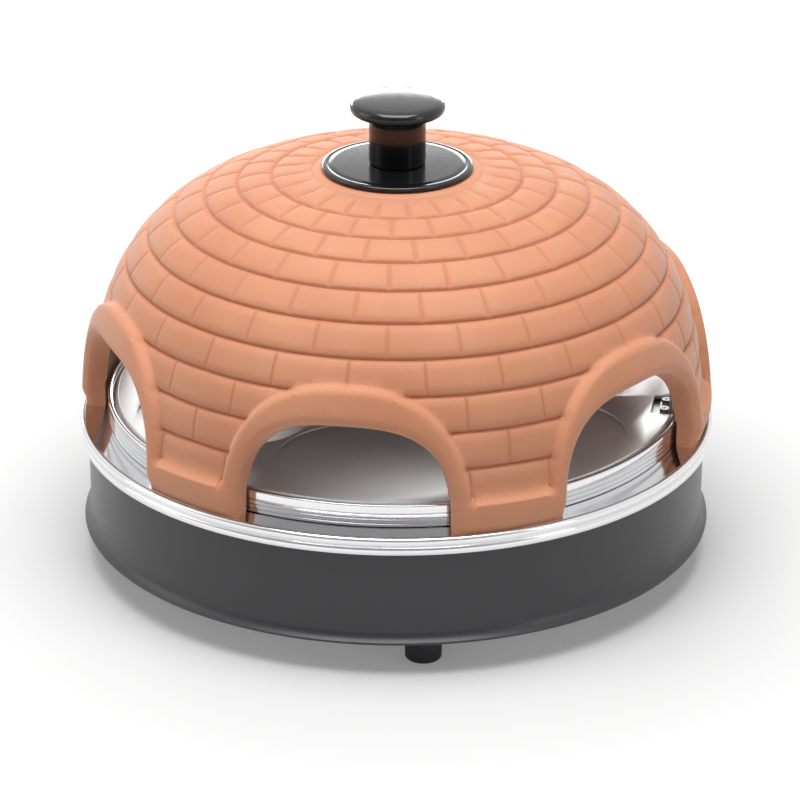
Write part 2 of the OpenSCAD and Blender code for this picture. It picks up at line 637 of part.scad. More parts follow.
// Top of a cold end, over its bush
function up_end(p) = [p[0], p[1], bush_z(p) + bush_t + up_leg];
module upper_element() color([0.36, 0.36, 0.37]) {
    translate([0, 0, up_z]) rotate(up_az - 90) loop_pair(up_loop_r, up_inner_r, up_open);
    for (p = up_terminals) translate([p[0], p[1], up_z]) {
        bore(leg_r, up_end(p)[2] - up_z);
        sphere(r = elbow_r);
    }
}
up_clip_az = [45, 150, 285];
up_clip_w = 8;
module upper_clips() color([0.6, 0.6, 0.6]) difference() {
    for (a = up_clip_az) at(a, up_loop_r, up_z) difference() {
        translate([0, 0, -tube_r - strap_t])
            box([up_clip_w, 2 * (tube_r + strap_t), hood_rise + tube_r + strap_t]);
        translate([0, 0, saddle_gap]) rotate([0, 90, 0])
            cylinder(r = tube_r + saddle_gap, h = up_clip_w + past, center = true);
        translate([0, 0, tube_r + strap_t]) box([up_clip_w + past, 2 * tube_r, through]);
    }
    // Everything above the reflector's underside
    spun_solid(concat(hood_path, [[0, hood_low + 2 * through], [hood_r, hood_low + 2 * through]]));
}
// The tube that leads the upper wires down beside the rear strap
conduit_r = 2.4;
conduit_ring_r = ledge_in - 1.2;
conduit_x = -strap_w / 2 - conduit_r - 1;
conduit_path = [[conduit_x, -conduit_ring_r, ledge_z - 14], [conduit_x, -conduit_ring_r, rim_z + strap_bend],
    [conduit_x, -hood_r - 5, hood_low - 6], [conduit_x, -hood_r - 5, hood_low + past]];
module conduit_place(z) at(strap_az[2]) translate([conduit_x, -conduit_ring_r, ledge_z + z]) children();
module lead_conduit() color([0.85, 0.84, 0.8]) at(strap_az[2]) wire(conduit_path, conduit_r);
lead_r = 0.9;
lead_side = 1.2;
lead_rise = 4;
// A point given beside the rear strap, in the part's own frame
function beside(p) = let (c = cos(strap_az[2]), s = sin(strap_az[2]))
    [p[0] * c - p[1] * s, p[0] * s + p[1] * c, p[2]];
module upper_leads() color([0.9, 0.88, 0.8]) for (i = [0, 1]) {
    shift = [(2 * i - 1) * lead_side, 0, 0];
    top = beside(conduit_path[3] + shift);
    foot = beside(conduit_path[0] + shift);
    end = up_end(up_terminals[i]);
    wire([top, top + [0, 0, lead_rise * (1 + i)], end + [0, 0, lead_rise], end], lead_r);
    wire([foot, [foot[0], foot[1], wire_z + wire_run - lead_rise * i],
        port(2 - i, 1, wire_run / (1 + i)), port(2 - i, 1)], lead_r);
}

// ---- Baking plate -----------------------------------------------------------------------
bead_r = 0.8;
notch_gap = 2;
half_pitch = sin(180 / arch_n);
circle_r = (2 * half_pitch * (plate_r - plate_edge) - circle_gap) / (2 + 2 * half_pitch);
circle_ring_r = plate_r - plate_edge - circle_r;
// The underside of a circle stands inside its recess by this much
circle_lap = 1.5;
module notch(x0, x1) translate([x0, -plate_r - past, plate_z - through / 2])
    cube([x1 - x0, plate_r - conduit_ring_r + conduit_r + 1 + past, through]);
module baking_plate() color([0.85, 0.85, 0.86]) difference() {
    union() {
        bore(plate_r, plate_t, plate_z);
        rotate_extrude() translate([plate_r - 1.5 * bead_r, plate_z + plate_t]) circle(r = bead_r);
        ring_of(arch_n, circle_ring_r, plate_z - circle_depth)
            cylinder(r = circle_r - circle_lap, h = plate_t);
    }
    ring_of(arch_n, circle_ring_r, plate_z + plate_t - circle_depth) cylinder(r = circle_r, h = through);
    for (a = strap_az) at(a) notch(-strap_w / 2 - notch_gap, strap_w / 2 + notch_gap);
    at(strap_az[2]) notch(conduit_x - conduit_r - notch_gap, 0);
}

// ---- Dome -------------------------------------------------------------------------------
// Radius of the brick surface at a height over the datum, with the surface moved in by t
function shell_r(z, t = 0) = let (b = dome_h - t + dome_drop)
    (dome_r - t) * pow(max(0, 1 - pow((z + dome_drop) / b, dome_pow)), 1 / dome_pow);
// Height of the brick surface at a radius
function shell_z(r, t = 0) = let (b = dome_h - t + dome_drop)
    b * pow(max(0, 1 - pow(r / (dome_r - t), dome_pow)), 1 / dome_pow) - dome_drop;
// Points of the surface at equal angles of its parameter
function shell_point(u, t = 0) = let (b = dome_h - t + dome_drop)
    [(dome_r - t) * pow(cos(u), 2 / dome_pow), b * pow(sin(u), 2 / dome_pow) - dome_drop];
fine_n = 240;
u_low = asin(pow(dome_drop / (dome_h + dome_drop), dome_pow / 2));
fine = [for (i = [0:fine_n]) shell_point(u_low + (90 - u_low) * i / fine_n)];
// Running length along those points
function step(i) = i <= fine_n ? norm(fine[i] - fine[i - 1]) : 0;
lengths = [for (i = 0, s = 0; i <= fine_n; i = i + 1, s = s + step(i)) s];
function walk(s) = let (i = search_length(s), f = (s - lengths[i]) / (lengths[i + 1] - lengths[i]))
    fine[i] + f * (fine[i + 1] - fine[i]);
function search_length(s) = max([for (i = [0:fine_n - 1]) if (lengths[i] <= s) i]);
function slope(s) = unit(walk(s + 0.5) - walk(s - 0.5));
seat_r = flange_r + seat_margin;
seat_z = shell_z(seat_r);
full_length = lookup(seat_r, [for (i = [fine_n:-1:0]) [fine[i][0], lengths[i]]]);
course_n = floor((full_length - 8) / course);
// The brick surface from the foot to the seat, with a notch at each bed joint
function bed_notch(s) = let (p = walk(s), d = slope(s))
    [p - d * joint_w / 2, p + left(d) * joint_d, p + d * joint_w / 2];
function course_points(k) = [for (f = [0.33, 0.67]) walk((k + f) * course)];
surface = concat([for (k = [0:course_n - 1]) each concat(course_points(k), bed_notch((k + 1) * course))],
    [walk(course_n * course + (full_length - course_n * course) / 2)]);
foot_r_out = lip_in - 2 * gap;
foot_r_in = ring_r + foot_play;
foot_low = channel_up + gap;
// The inner face runs straight up to here, clear of the ring, and follows the surface above
inner_start = ring_h + 6;
seat_dip = 1.2;
bolt_r = 4;
bolt_gap = 0.5;
inner_top = dome_h - dome_wall;
arch_w = dome_r * tan(arch_half);
function lifted(points) = [for (p = points) [p[0], p[1] + rim_z]];
module dome_shell() spun_solid(lifted(concat(
    [[foot_r_in, foot_low], [min(foot_r_out, shell_r(foot_low)), foot_low]],
    surface,
    [[seat_r, seat_z], [seat_r - seat_margin / 2, dome_h - seat_dip], [bolt_r + bolt_gap, dome_h - seat_dip],
     [bolt_r + bolt_gap, inner_top]],
    [for (i = [10:-1:1]) let (z = inner_start + (inner_top - inner_start) * sin(i * 9))
        [shell_r(min(z, inner_top - bolt_gap), dome_wall), z]],
    [[foot_r_in, inner_start - 4]])));
// The same surface, raised, for the frames. It swells out over the rim's lip,
// and is sunk into the wall behind it
lip_over = foot_low + 1;
lip_swell = 0.35;
backing = 4;
function raised_r(z) = min(shell_r(z) + frame_raise, foot_r_out + max(z - lip_over, 0) * lip_swell);
module raised_shell(z0, z1) spun_solid(lifted(concat(
    [[shell_r(z0) - backing, z0], [raised_r(z0), z0]],
    [for (i = [0:9]) let (z = lip_over + (z1 - lip_over) * pow(i / 9, 1.3)) [raised_r(z), z]],
    [for (i = [9:-1:0]) let (z = z0 + (z1 - z0) * i / 9) [shell_r(z) - backing, z]])));
// Outline of an arch, as a superellipse standing on its foot
function arch_points(w, h, n, steps = 14) = [for (i = [0:2 * steps])
    let (t = 90 * (1 - cos(i * 90 / steps)), c = cos(t), s = sin(t))
    [w * sign(c) * pow(abs(c), 2 / n), h * pow(s, 2 / n)]];
// A solid with that outline, whose sides run to the dome's axis
near = 110;
reach = dome_r + through;
module arch_wedge(w, h, n, low) translate([0, 0, rim_z]) rotate([90, 0, 0]) translate([0, 0, near])
    linear_extrude(height = reach - near, scale = reach / near)
        polygon(concat([[w, -low], [w, 0]], arch_points(w, h, n), [[-w, 0], [-w, -low]]) * near / dome_r);
module arch_openings() ring_of(arch_n, 0) arch_wedge(arch_w, arch_h, arch_pow, through / 2);
// The frames and the plain bands at the feet of the legs
module frames() intersection() {
    raised_shell(foot_low, arch_h + frame_top + backing);
    union() {
        ring_of(arch_n, 0) arch_wedge(arch_w + frame_w, arch_h + frame_top, arch_pow - 0.5, 1);
        bore(reach, leg_band - foot_low + 1, rim_z + foot_low - 1);
    }
}
// Cutters for the upright joints of one course, whose ends run into its bed joints
module upright_joints(k) {
    s0 = k * course + joint_w * 0.3;
    s1 = min((k + 1) * course - joint_w * 0.3, full_length - 4);
    p0 = walk(s0);
    p1 = walk(s1);
    d = p1 - p0;
    ring_of(brick_n, 0, 0, (k % 2) * 180 / brick_n) translate([0, -p0[0], p0[1] + rim_z])
        rotate([atan2(d[0], d[1]), 0, 0]) translate([0, -joint_d * 0.2, 0])
            box([joint_w * 0.7, 2.6 * joint_d, norm(d)]);
}
module dome() color([0.82, 0.56, 0.42]) difference() {
    union() {
        difference() {
            dome_shell();
            for (k = [1:course_n]) upright_joints(k);
        }
        frames();
    }
    arch_openings();
}

// ---- Knob -------------------------------------------------------------------------------
gasket_t = 0.8;
gasket_inset = 4;
gasket_z = rim_z + dome_h - seat_dip;
flange_low = gasket_z + gasket_t;
knob_low = flange_low + flange_t;
knob_top = knob_low + stem_h + knob_t;
module knob_gasket() color([0.7, 0.2, 0.15])
    translate([0, 0, gasket_z]) tube(flange_r - gasket_inset, bolt_r + bolt_gap, gasket_t);
flange_round = 1.4;
hole_r = bolt_r + gap;
module knob_flange() color([0.05, 0.05, 0.05]) spun_solid(concat(
    [[hole_r, flange_low], [flange_r - 1, flange_low]],
    arc([flange_r - flange_round, flange_low + flange_round], flange_round, -60, 80, 6),
    [[stem_r + 10, knob_low - 0.25], [stem_r + 2, knob_low], [hole_r, knob_low]]));
insert_r = 6;
insert_h = 22;
knob_edge = knob_t * 0.3;
module knob() color([0.05, 0.05, 0.05]) spun_solid(concat(
    [[hole_r, knob_low], [stem_r - 1.2, knob_low], [stem_r, knob_low + 2.4],
     [stem_r, knob_low + stem_h - 1.5], [stem_r + 1.6, knob_low + stem_h],
     [knob_r - 3.2, knob_low + stem_h + knob_t * 0.36]],
    arc([knob_r - knob_edge, knob_low + stem_h + knob_t * 0.64], knob_edge, -50, 70, 10),
    [[knob_r * 0.55, knob_top - 0.3], [0, knob_top], [0, knob_low + insert_h + 1],
     [insert_r, knob_low + insert_h + 1], [insert_r, knob_low + 1], [hole_r, knob_low + 1]]));
module knob_insert() color([0.8, 0.68, 0.35])
    translate([0, 0, knob_low + 1]) tube(insert_r, bolt_r, insert_h);
washer_t = 1.6;
washer_r = 14;
washer_z = rim_z + inner_top - washer_t;
module knob_washer() color([0.75, 0.75, 0.76])
    translate([0, 0, washer_z]) tube(washer_r, hole_r, washer_t);
bolt_head_h = 5;
bolt_head_r = 7.5;
module knob_bolt() color([0.75, 0.75, 0.76]) {
    bore(bolt_r, knob_low + insert_h - washer_z, washer_z);
    translate([0, 0, washer_z - bolt_head_h]) cylinder(r = bolt_head_r, h = bolt_head_h, $fn = 6);
}

base_housing();
bottom_cover();
cover_screws();
feet();
foot_screws();
foot_nuts();
rim_channel();
plate_ring();
ring_screws();
heater_pan();
pan_screws();
lower_element();
lower_clips();
terminal_bushes();
insulation_disc();
insulation_pins();
thermostat();
thermal_fuse();
terminal_block();
earth_tab();
inner_wiring();
switch_body();
switch_rocker();
indicator_lens();
indicator_lamp();
cord_gland();
gland_nut();
strap_front();
strap_right();
strap_rear();
strap_screws();
upper_reflector();
upper_element();
upper_clips();
lead_conduit();
upper_leads();
baking_plate();
dome();
knob_gasket();
knob_flange();
knob();
knob_insert();
knob_bolt();
knob_washer();
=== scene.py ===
"""Looks of a round table-top pizza maker: a terracotta dome over a steel-rimmed heating base.

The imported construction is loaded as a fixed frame, in metres, with the origin on the floor at
the centre, +Z up and the front arch towards -Y. This script dresses it: it models the dome, the
turned steel and plastic pieces with their real edges, gives every piece its finish, and sets the
floor, the lamps and the camera.
"""
import bisect
import json
import logging
import math
from dataclasses import dataclass, field
from enum import Enum
from typing import ClassVar

import bmesh
import bpy
from mathutils import Matrix, Vector, noise

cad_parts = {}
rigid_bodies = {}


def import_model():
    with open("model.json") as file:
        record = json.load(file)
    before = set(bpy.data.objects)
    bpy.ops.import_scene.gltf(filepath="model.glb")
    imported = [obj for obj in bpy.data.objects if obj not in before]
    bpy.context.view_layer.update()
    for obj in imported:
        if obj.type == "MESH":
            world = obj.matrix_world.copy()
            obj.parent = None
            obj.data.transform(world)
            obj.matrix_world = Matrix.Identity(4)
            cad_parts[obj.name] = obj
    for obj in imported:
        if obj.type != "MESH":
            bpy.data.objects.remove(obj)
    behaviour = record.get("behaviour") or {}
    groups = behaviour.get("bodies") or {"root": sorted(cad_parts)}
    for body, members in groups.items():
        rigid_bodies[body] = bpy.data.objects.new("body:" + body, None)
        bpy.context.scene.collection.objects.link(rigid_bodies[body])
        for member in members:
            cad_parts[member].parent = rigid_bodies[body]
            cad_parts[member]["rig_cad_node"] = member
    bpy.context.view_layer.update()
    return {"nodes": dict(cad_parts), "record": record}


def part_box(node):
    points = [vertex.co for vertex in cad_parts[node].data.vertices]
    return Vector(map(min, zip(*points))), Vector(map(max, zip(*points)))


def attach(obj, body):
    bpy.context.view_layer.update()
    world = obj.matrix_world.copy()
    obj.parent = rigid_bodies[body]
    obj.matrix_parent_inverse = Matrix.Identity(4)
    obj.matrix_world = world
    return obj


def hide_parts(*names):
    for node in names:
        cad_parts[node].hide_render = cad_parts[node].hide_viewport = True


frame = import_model()

LOG = logging.getLogger("pizza_maker")
MM = 0.001
TURN = 2 * math.pi

Point = tuple[float, float]
Colour = tuple[float, float, float]


# ---- Levels and radii of the frame, in millimetres -----------------------------------------


@dataclass(frozen=True)
class Levels:
    """The heights and radii that the pieces share, read from the frame's own boxes."""

    rim_outer: float
    rim_top: float
    ring_outer: float
    ring_top: float
    wall_outer: float
    foot_top: float

    WALL_INSET: ClassVar[float] = 5.5
    RIM_RISE: ClassVar[float] = 5.0
    CHANNEL_RISE: ClassVar[float] = 4.3

    @staticmethod
    def from_frame() -> "Levels":
        """Reads the shared sizes from the boxes of the construction's nodes.

        Returns:
            The levels, in millimetres.
        """
        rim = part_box("rim_channel")[1] / MM
        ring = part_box("plate_ring")[1] / MM
        return Levels(
            rim_outer=rim.x,
            rim_top=rim.z,
            ring_outer=ring.x,
            ring_top=ring.z,
            wall_outer=rim.x - Levels.WALL_INSET,
            foot_top=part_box("feet")[1].z / MM,
        )

    @property
    def datum(self) -> float:
        """The rim's datum, from which the dome is measured."""
        return self.rim_top - self.RIM_RISE

    @property
    def channel(self) -> float:
        """The floor of the channel that the dome stands in."""
        return self.datum + self.CHANNEL_RISE


# ---- Meshes ---------------------------------------------------------------------------------


def linked(name: str, data: bpy.types.ID) -> bpy.types.Object:
    """Puts a mesh, lamp or camera into the scene as an object."""
    made = bpy.data.objects.new(name, data)
    bpy.context.scene.collection.objects.link(made)
    return made


def object_from(bm: bmesh.types.BMesh, name: str, smooth_angle: float) -> bpy.types.Object:
    """Turns a finished bmesh, in millimetres, into an object at the origin.

    Args:
        bm: The mesh, which is freed.
        name: The piece's name.
        smooth_angle: Edges bent by more than this many degrees stay sharp.

    Returns:
        The linked object, in metres.
    """
    bmesh.ops.scale(bm, vec=(MM, MM, MM), verts=bm.verts)
    mesh = bpy.data.meshes.new(name)
    bm.to_mesh(mesh)
    bm.free()
    mesh.polygons.foreach_set("use_smooth", [True] * len(mesh.polygons))
    mesh.set_sharp_from_angle(angle=math.radians(smooth_angle))
    return linked(name, mesh)


def arc(centre: Point, radius: float, start: float, end: float, steps: int) -> list[Point]:
    """Points of an arc, both ends included.

    Args:
        centre: The arc's centre.
        radius: Its radius.
        start: First angle in degrees, counted from the outward radius towards up.
        end: Last angle in degrees.
        steps: Number of stretches.

    Returns:
        The points, as radius and height.
    """
    made = []
    for i in range(steps + 1):
        angle = math.radians(start + (end - start) * i / steps)
        made.append((centre[0] + radius * math.cos(angle), centre[1] + radius * math.sin(angle)))
    return made


def turned(outline: list[Point], steps: int) -> bmesh.types.BMesh:
    """Spins a closed outline round the Z axis into a closed shell.

    Args:
        outline: Radius and height of its points; points on the axis may be among them.
        steps: Number of facets round the axis.

    Returns:
        The mesh, with its faces pointing outwards.
    """
    bm = bmesh.new()
    verts = [bm.verts.new((r, 0.0, z)) for r, z in outline]
    edges = [bm.edges.new((verts[i - 1], verts[i])) for i in range(len(verts))]
    bmesh.ops.spin(
        bm,
        geom=verts + edges,
        axis=(0, 0, 1),
        cent=(0, 0, 0),
        angle=TURN,
        steps=steps,
        use_merge=True,
    )
    bmesh.ops.remove_doubles(bm, verts=bm.verts, dist=1e-4)
    bmesh.ops.recalc_face_normals(bm, faces=bm.faces)
    return bm


def turn_to(bm: bmesh.types.BMesh, azimuth: float, radius: float) -> None:
    """Moves a mesh made round the Z axis out to an azimuth counted from the front.

    Args:
        bm: The mesh.
        azimuth: Degrees from -Y towards +X.
        radius: Distance from the axis.
    """
    place = Matrix.Rotation(math.radians(azimuth), 4, "Z") @ Matrix.Translation((0, -radius, 0))
    bmesh.ops.transform(bm, matrix=place, verts=bm.verts)


def cut_away(piece: bpy.types.Object, cutters: list[bpy.types.Object]) -> None:
    """Cuts closed shapes out of a piece and removes them.

    Args:
        piece: The piece that is cut.
        cutters: The shapes taken out of it.
    """
    for cutter in cutters:
        modifier = piece.modifiers.new("cut", "BOOLEAN")
        modifier.operation = "DIFFERENCE"
        modifier.solver = "EXACT"
        modifier.object = cutter
    bpy.context.view_layer.update()
    graph = bpy.context.evaluated_depsgraph_get()
    done = bpy.data.meshes.new_from_object(piece.evaluated_get(graph))
    piece.modifiers.clear()
    piece.data = done
    for cutter in cutters:
        bpy.data.objects.remove(cutter)


def box_shape(size: Vector, centre: Vector) -> bmesh.types.BMesh:
    """A plain block, for cutting.

    Args:
        size: Its three sizes.
        centre: Its middle.

    Returns:
        The mesh.
    """
    bm = bmesh.new()
    bmesh.ops.create_cube(bm, size=1.0)
    bmesh.ops.scale(bm, vec=size, verts=bm.verts)
    bmesh.ops.translate(bm, vec=centre, verts=bm.verts)
    return bm


# ---- Finishes -------------------------------------------------------------------------------


def add_node(
    tree: bpy.types.NodeTree, kind: str, inputs: dict[str | int, object], **options: str
) -> bpy.types.Node:
    """Adds a shader node, sets its options and fills its sockets.

    Args:
        tree: The node tree.
        kind: The node's type, without its leading ShaderNode.
        inputs: By socket, a value or the output that is linked to it.
        options: The node's options.

    Returns:
        The node.
    """
    node = tree.nodes.new(f"ShaderNode{kind}")
    for name, option in options.items():
        setattr(node, name, option)
    for socket, value in inputs.items():
        if isinstance(value, bpy.types.NodeSocket):
            tree.links.new(value, node.inputs[socket])
        else:
            node.inputs[socket].default_value = value
    return node


class Sheet:
    """A material's node tree, with short ways to add what the finishes share."""

    def __init__(self, name: str) -> None:
        """Makes an empty material with one Principled shader.

        Args:
            name: The material's name.
        """
        self.material = bpy.data.materials.new(name)
        self.material.use_nodes = True
        self.tree = self.material.node_tree
        self.shader = self.tree.nodes["Principled BSDF"]
        self.place = add_node(self.tree, "TexCoord", {}).outputs["Object"]

    def set(self, **values: float | tuple) -> None:
        """Sets sockets of the shader; an underscore in a name stands for a space."""
        for name, value in values.items():
            socket = name.replace("_", " ").title().replace("Ior", "IOR")
            self.shader.inputs[socket].default_value = value

    def noise(self, scale: float, detail: float = 3.0, rough: float = 0.5) -> bpy.types.NodeSocket:
        """Noise on the object's own coordinates.

        Args:
            scale: Features per metre.
            detail: Octaves.
            rough: Weight of the finer octaves.

        Returns:
            The noise's value.
        """
        inputs = {"Vector": self.place, "Scale": scale, "Detail": detail, "Roughness": rough}
        return add_node(self.tree, "TexNoise", inputs).outputs["Fac"]

    def stretched_noise(self, scale: Vector, detail: float = 2.0) -> bpy.types.NodeSocket:
        """Noise that is drawn out along an axis, as brushing is.

        Args:
            scale: Features per metre along X, Y and Z.
            detail: Octaves.

        Returns:
            The noise's value.
        """
        mapping = add_node(self.tree, "Mapping", {"Vector": self.place, "Scale": scale})
        inputs = {"Vector": mapping.outputs["Vector"], "Scale": 1.0, "Detail": detail}
        return add_node(self.tree, "TexNoise", inputs).outputs["Fac"]

    def ranged(self, value: bpy.types.NodeSocket, low: float, high: float) -> bpy.types.NodeSocket:
        """Maps a value from 0..1 to a range.

        Args:
            value: The source.
            low: Result at 0.
            high: Result at 1.

        Returns:
            The mapped value.
        """
        inputs = {"Value": value, "To Min": low, "To Max": high}
        return add_node(self.tree, "MapRange", inputs).outputs["Result"]

    def blended(
        self, share: bpy.types.NodeSocket, first: Colour | bpy.types.NodeSocket, second: Colour
    ) -> bpy.types.NodeSocket:
        """Mixes two colours.

        Args:
            share: 0 gives the first, 1 the second.
            first: A linear colour, or an output that gives one.
            second: A linear colour.

        Returns:
            The mixed colour.
        """
        start = first if isinstance(first, bpy.types.NodeSocket) else (*first, 1.0)
        inputs = {0: share, 6: start, 7: (*second, 1.0)}
        return add_node(self.tree, "Mix", inputs, data_type="RGBA").outputs[2]

    def to(self, socket: str, value: bpy.types.NodeSocket) -> None:
        """Links a value to one of the shader's sockets."""
        self.tree.links.new(value, self.shader.inputs[socket])

    def bump(self, height: bpy.types.NodeSocket, distance: float, strength: float = 1.0) -> None:
        """Bumps the surface, over any bump that it already has.

        Args:
            height: The relief, from 0 to 1.
            distance: Its depth in metres.
            strength: Its share.
        """
        inputs = {"Height": height, "Distance": distance, "Strength": strength}
        node = add_node(self.tree, "Bump", inputs)
        normal = self.shader.inputs["Normal"]
        if normal.is_linked:
            self.tree.links.new(normal.links[0].from_socket, node.inputs["Normal"])
        self.tree.links.new(node.outputs["Normal"], normal)


@dataclass(frozen=True)
class Clay:
    """Unglazed terracotta: dry, matt, with a faint cloudiness and a sandy grain, and painted shade
    darkening its grooves.
    """

    name: str = "terracotta"
    pale: Colour = (0.72, 0.322, 0.180)
    deep: Colour = (0.62, 0.245, 0.126)
    # darker clay painted into the grooves, standing in for the shade that falls inside them
    groove_shade: Colour = (0.57, 0.212, 0.106)
    cloud_scale: float = 16.0
    grain_scale: float = 1500.0
    grain_depth: float = 0.00009
    unevenness: float = 0.00035
    cloud_range: Point = (-0.4, 1.4)
    rough_range: Point = (0.60, 0.74)

    def build(self) -> bpy.types.Material:
        """Makes the material."""
        sheet = Sheet(self.name)
        clouds = sheet.noise(self.cloud_scale, 4.0)
        body = sheet.blended(sheet.ranged(clouds, *self.cloud_range), self.pale, self.deep)
        groove = add_node(sheet.tree, "Attribute", {}, attribute_name=TerracottaDome.GROOVE)
        # the groove share darkens the colour: painted shade in the brick grooves
        sheet.to("Base Color", sheet.blended(groove.outputs["Fac"], body, self.groove_shade))
        grain = sheet.noise(self.grain_scale, 2.0)
        sheet.to("Roughness", sheet.ranged(grain, *self.rough_range))
        sheet.bump(grain, self.grain_depth)
        sheet.bump(sheet.noise(self.cloud_scale * 9, 3.0), self.unevenness, 0.6)
        sheet.set(specular_IOR_level=0.45, sheen_weight=0.3, sheen_roughness=0.45)
        return sheet.material


@dataclass(frozen=True)
class Metal:
    """Bare metal: polished, brushed or dulled by heat."""

    name: str
    colour: Colour
    dull: Colour
    rough: float
    rough_spread: float = 0.03
    metal: float = 1.0
    smear_scale: float = 14.0
    grain_scale: float = 700.0
    grain_depth: float = 0.00002

    def build(self) -> bpy.types.Material:
        """Makes the material."""
        sheet = Sheet(self.name)
        smear = sheet.noise(self.smear_scale, 4.0, 0.6)
        sheet.to("Base Color", sheet.blended(smear, self.colour, self.dull))
        sheet.to("Roughness", sheet.ranged(smear, self.rough, self.rough + self.rough_spread))
        sheet.set(metallic=self.metal)
        sheet.bump(sheet.noise(self.grain_scale, 2.0), self.grain_depth, 0.4)
        return sheet.material


@dataclass(frozen=True)
class Coat:
    """Paint, plastic, rubber or ceramic: a coloured body with a more or less glossy skin."""

    name: str
    colour: Colour
    second: Colour
    rough: float
    rough_spread: float = 0.06
    cloud_scale: float = 30.0
    grain_scale: float = 1200.0
    grain_depth: float = 0.00004
    coat: float = 0.0
    coat_rough: float = 0.05
    see_through: float = 0.0

    def build(self) -> bpy.types.Material:
        """Makes the material."""
        sheet = Sheet(self.name)
        clouds = sheet.noise(self.cloud_scale, 3.0)
        sheet.to("Base Color", sheet.blended(clouds, self.colour, self.second))
        sheet.to("Roughness", sheet.ranged(clouds, self.rough, self.rough + self.rough_spread))
        sheet.set(coat_weight=self.coat, coat_roughness=self.coat_rough)
        sheet.set(transmission_weight=self.see_through)
        sheet.bump(sheet.noise(self.grain_scale, 2.0), self.grain_depth)
        return sheet.material


@dataclass(frozen=True)
class Fibre:
    """Spun fibre: a felted board or a braided sleeve."""

    name: str
    colour: Colour
    second: Colour
    strand_scale: Vector = field(default_factory=lambda: Vector((900.0, 900.0, 240.0)))
    depth: float = 0.0004

    def build(self) -> bpy.types.Material:
        """Makes the material."""
        sheet = Sheet(self.name)
        strands = sheet.stretched_noise(self.strand_scale, 4.0)
        sheet.to("Base Color", sheet.blended(strands, self.colour, self.second))
        sheet.set(roughness=0.95, sheen_weight=0.3)
        sheet.bump(strands, self.depth)
        return sheet.material


class Finish(Enum):
    """The finishes, each named as the record's material slot."""

    TERRACOTTA = Clay()
    BLACK_SHELL = Coat("black_shell", (0.036, 0.034, 0.038), (0.042, 0.040, 0.044), 0.30, 0.06)
    POLISHED_STEEL = Metal("polished_steel", (0.80, 0.80, 0.81), (0.72, 0.72, 0.73), 0.07)
    PLATE_STEEL = Metal(
        "plate_steel", (0.86, 0.86, 0.86), (0.78, 0.78, 0.78), 0.34, 0.06, metal=0.5
    )
    BARE_STEEL = Metal("bare_steel", (0.52, 0.52, 0.53), (0.44, 0.44, 0.45), 0.32, 0.1)
    HEATER_SHEET = Metal("heater_sheet", (0.60, 0.61, 0.62), (0.50, 0.51, 0.52), 0.26, 0.12)
    ELEMENT_STEEL = Metal("element_steel", (0.13, 0.13, 0.135), (0.09, 0.085, 0.085), 0.42, 0.15)
    BLACK_PHENOLIC = Coat(
        "black_phenolic", (0.004, 0.004, 0.005), (0.006, 0.006, 0.007), 0.10, 0.04, coat=0.1
    )
    FOOT_RUBBER = Coat("foot_rubber", (0.020, 0.020, 0.023), (0.028, 0.028, 0.032), 0.62, 0.2)
    SWITCH_PLASTIC = Coat(
        "switch_plastic", (0.022, 0.022, 0.022), (0.028, 0.028, 0.028), 0.42, 0.1
    )
    ROCKER_PLASTIC = Coat(
        "rocker_plastic", (0.024, 0.024, 0.025), (0.030, 0.030, 0.031), 0.22, 0.06
    )
    LENS_AMBER = Coat(
        "lens_amber", (0.75, 0.20, 0.03), (0.65, 0.15, 0.02), 0.12, 0.04, see_through=0.55
    )
    WHITE_CERAMIC = Coat("white_ceramic", (0.74, 0.71, 0.62), (0.66, 0.63, 0.55), 0.5, 0.15)
    MINERAL_WOOL = Fibre("mineral_wool", (0.66, 0.60, 0.44), (0.50, 0.44, 0.30))
    BRASS = Metal("brass", (0.62, 0.42, 0.16), (0.50, 0.32, 0.11), 0.25, 0.1)
    WIRE_SLEEVE = Coat("wire_sleeve", (0.30, 0.022, 0.014), (0.24, 0.016, 0.010), 0.45, 0.12)
    RED_SILICONE = Coat("red_silicone", (0.16, 0.02, 0.012), (0.13, 0.015, 0.010), 0.55, 0.12)
    LAMP_GLASS = Coat(
        "lamp_glass", (0.92, 0.84, 0.76), (0.88, 0.78, 0.70), 0.04, 0.02, see_through=0.9
    )
    GLASS_SLEEVE = Fibre("glass_sleeve", (0.78, 0.75, 0.66), (0.60, 0.57, 0.49))


def finish_by_node() -> dict[str, Finish]:
    """The finish that the record names for each node."""
    by_slot = {finish.value.name: finish for finish in Finish}
    rows = frame["record"]["subparts"]
    return {row["node"]: by_slot[row["material_slot"]] for row in rows}


class Paintbox:
    """Makes each finish once and gives it to pieces."""

    def __init__(self) -> None:
        """Starts with no material made."""
        self.made: dict[Finish, bpy.types.Material] = {}

    def material(self, finish: Finish) -> bpy.types.Material:
        """The material of a finish, made on first use."""
        if finish not in self.made:
            self.made[finish] = finish.value.build()
        return self.made[finish]

    def dress(self, piece: bpy.types.Object, finish: Finish) -> None:
        """Gives a piece one finish all over.

        Args:
            piece: A new piece or a node of the frame.
            finish: The finish.
        """
        piece.data.materials.clear()
        piece.data.materials.append(self.material(finish))


@dataclass
class Maker:
    """What every sub-assembly needs: the shared levels and the paintbox."""

    levels: Levels
    paint: Paintbox

    def finish_piece(
        self, piece: bpy.types.Object, body: str, finish: Finish, *nodes: str
    ) -> bpy.types.Object:
        """Dresses a new piece, makes it ride and lets it stand for nodes.

        Args:
            piece: The piece.
            body: The body that it moves with.
            finish: Its finish.
            nodes: The nodes that it replaces.

        Returns:
            The piece.
        """
        self.paint.dress(piece, finish)
        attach(piece, body)
        if nodes:
            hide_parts(*nodes)
        LOG.info("%s: %d faces", piece.name, len(piece.data.polygons))
        return piece


# ---- Dome -----------------------------------------------------------------------------------


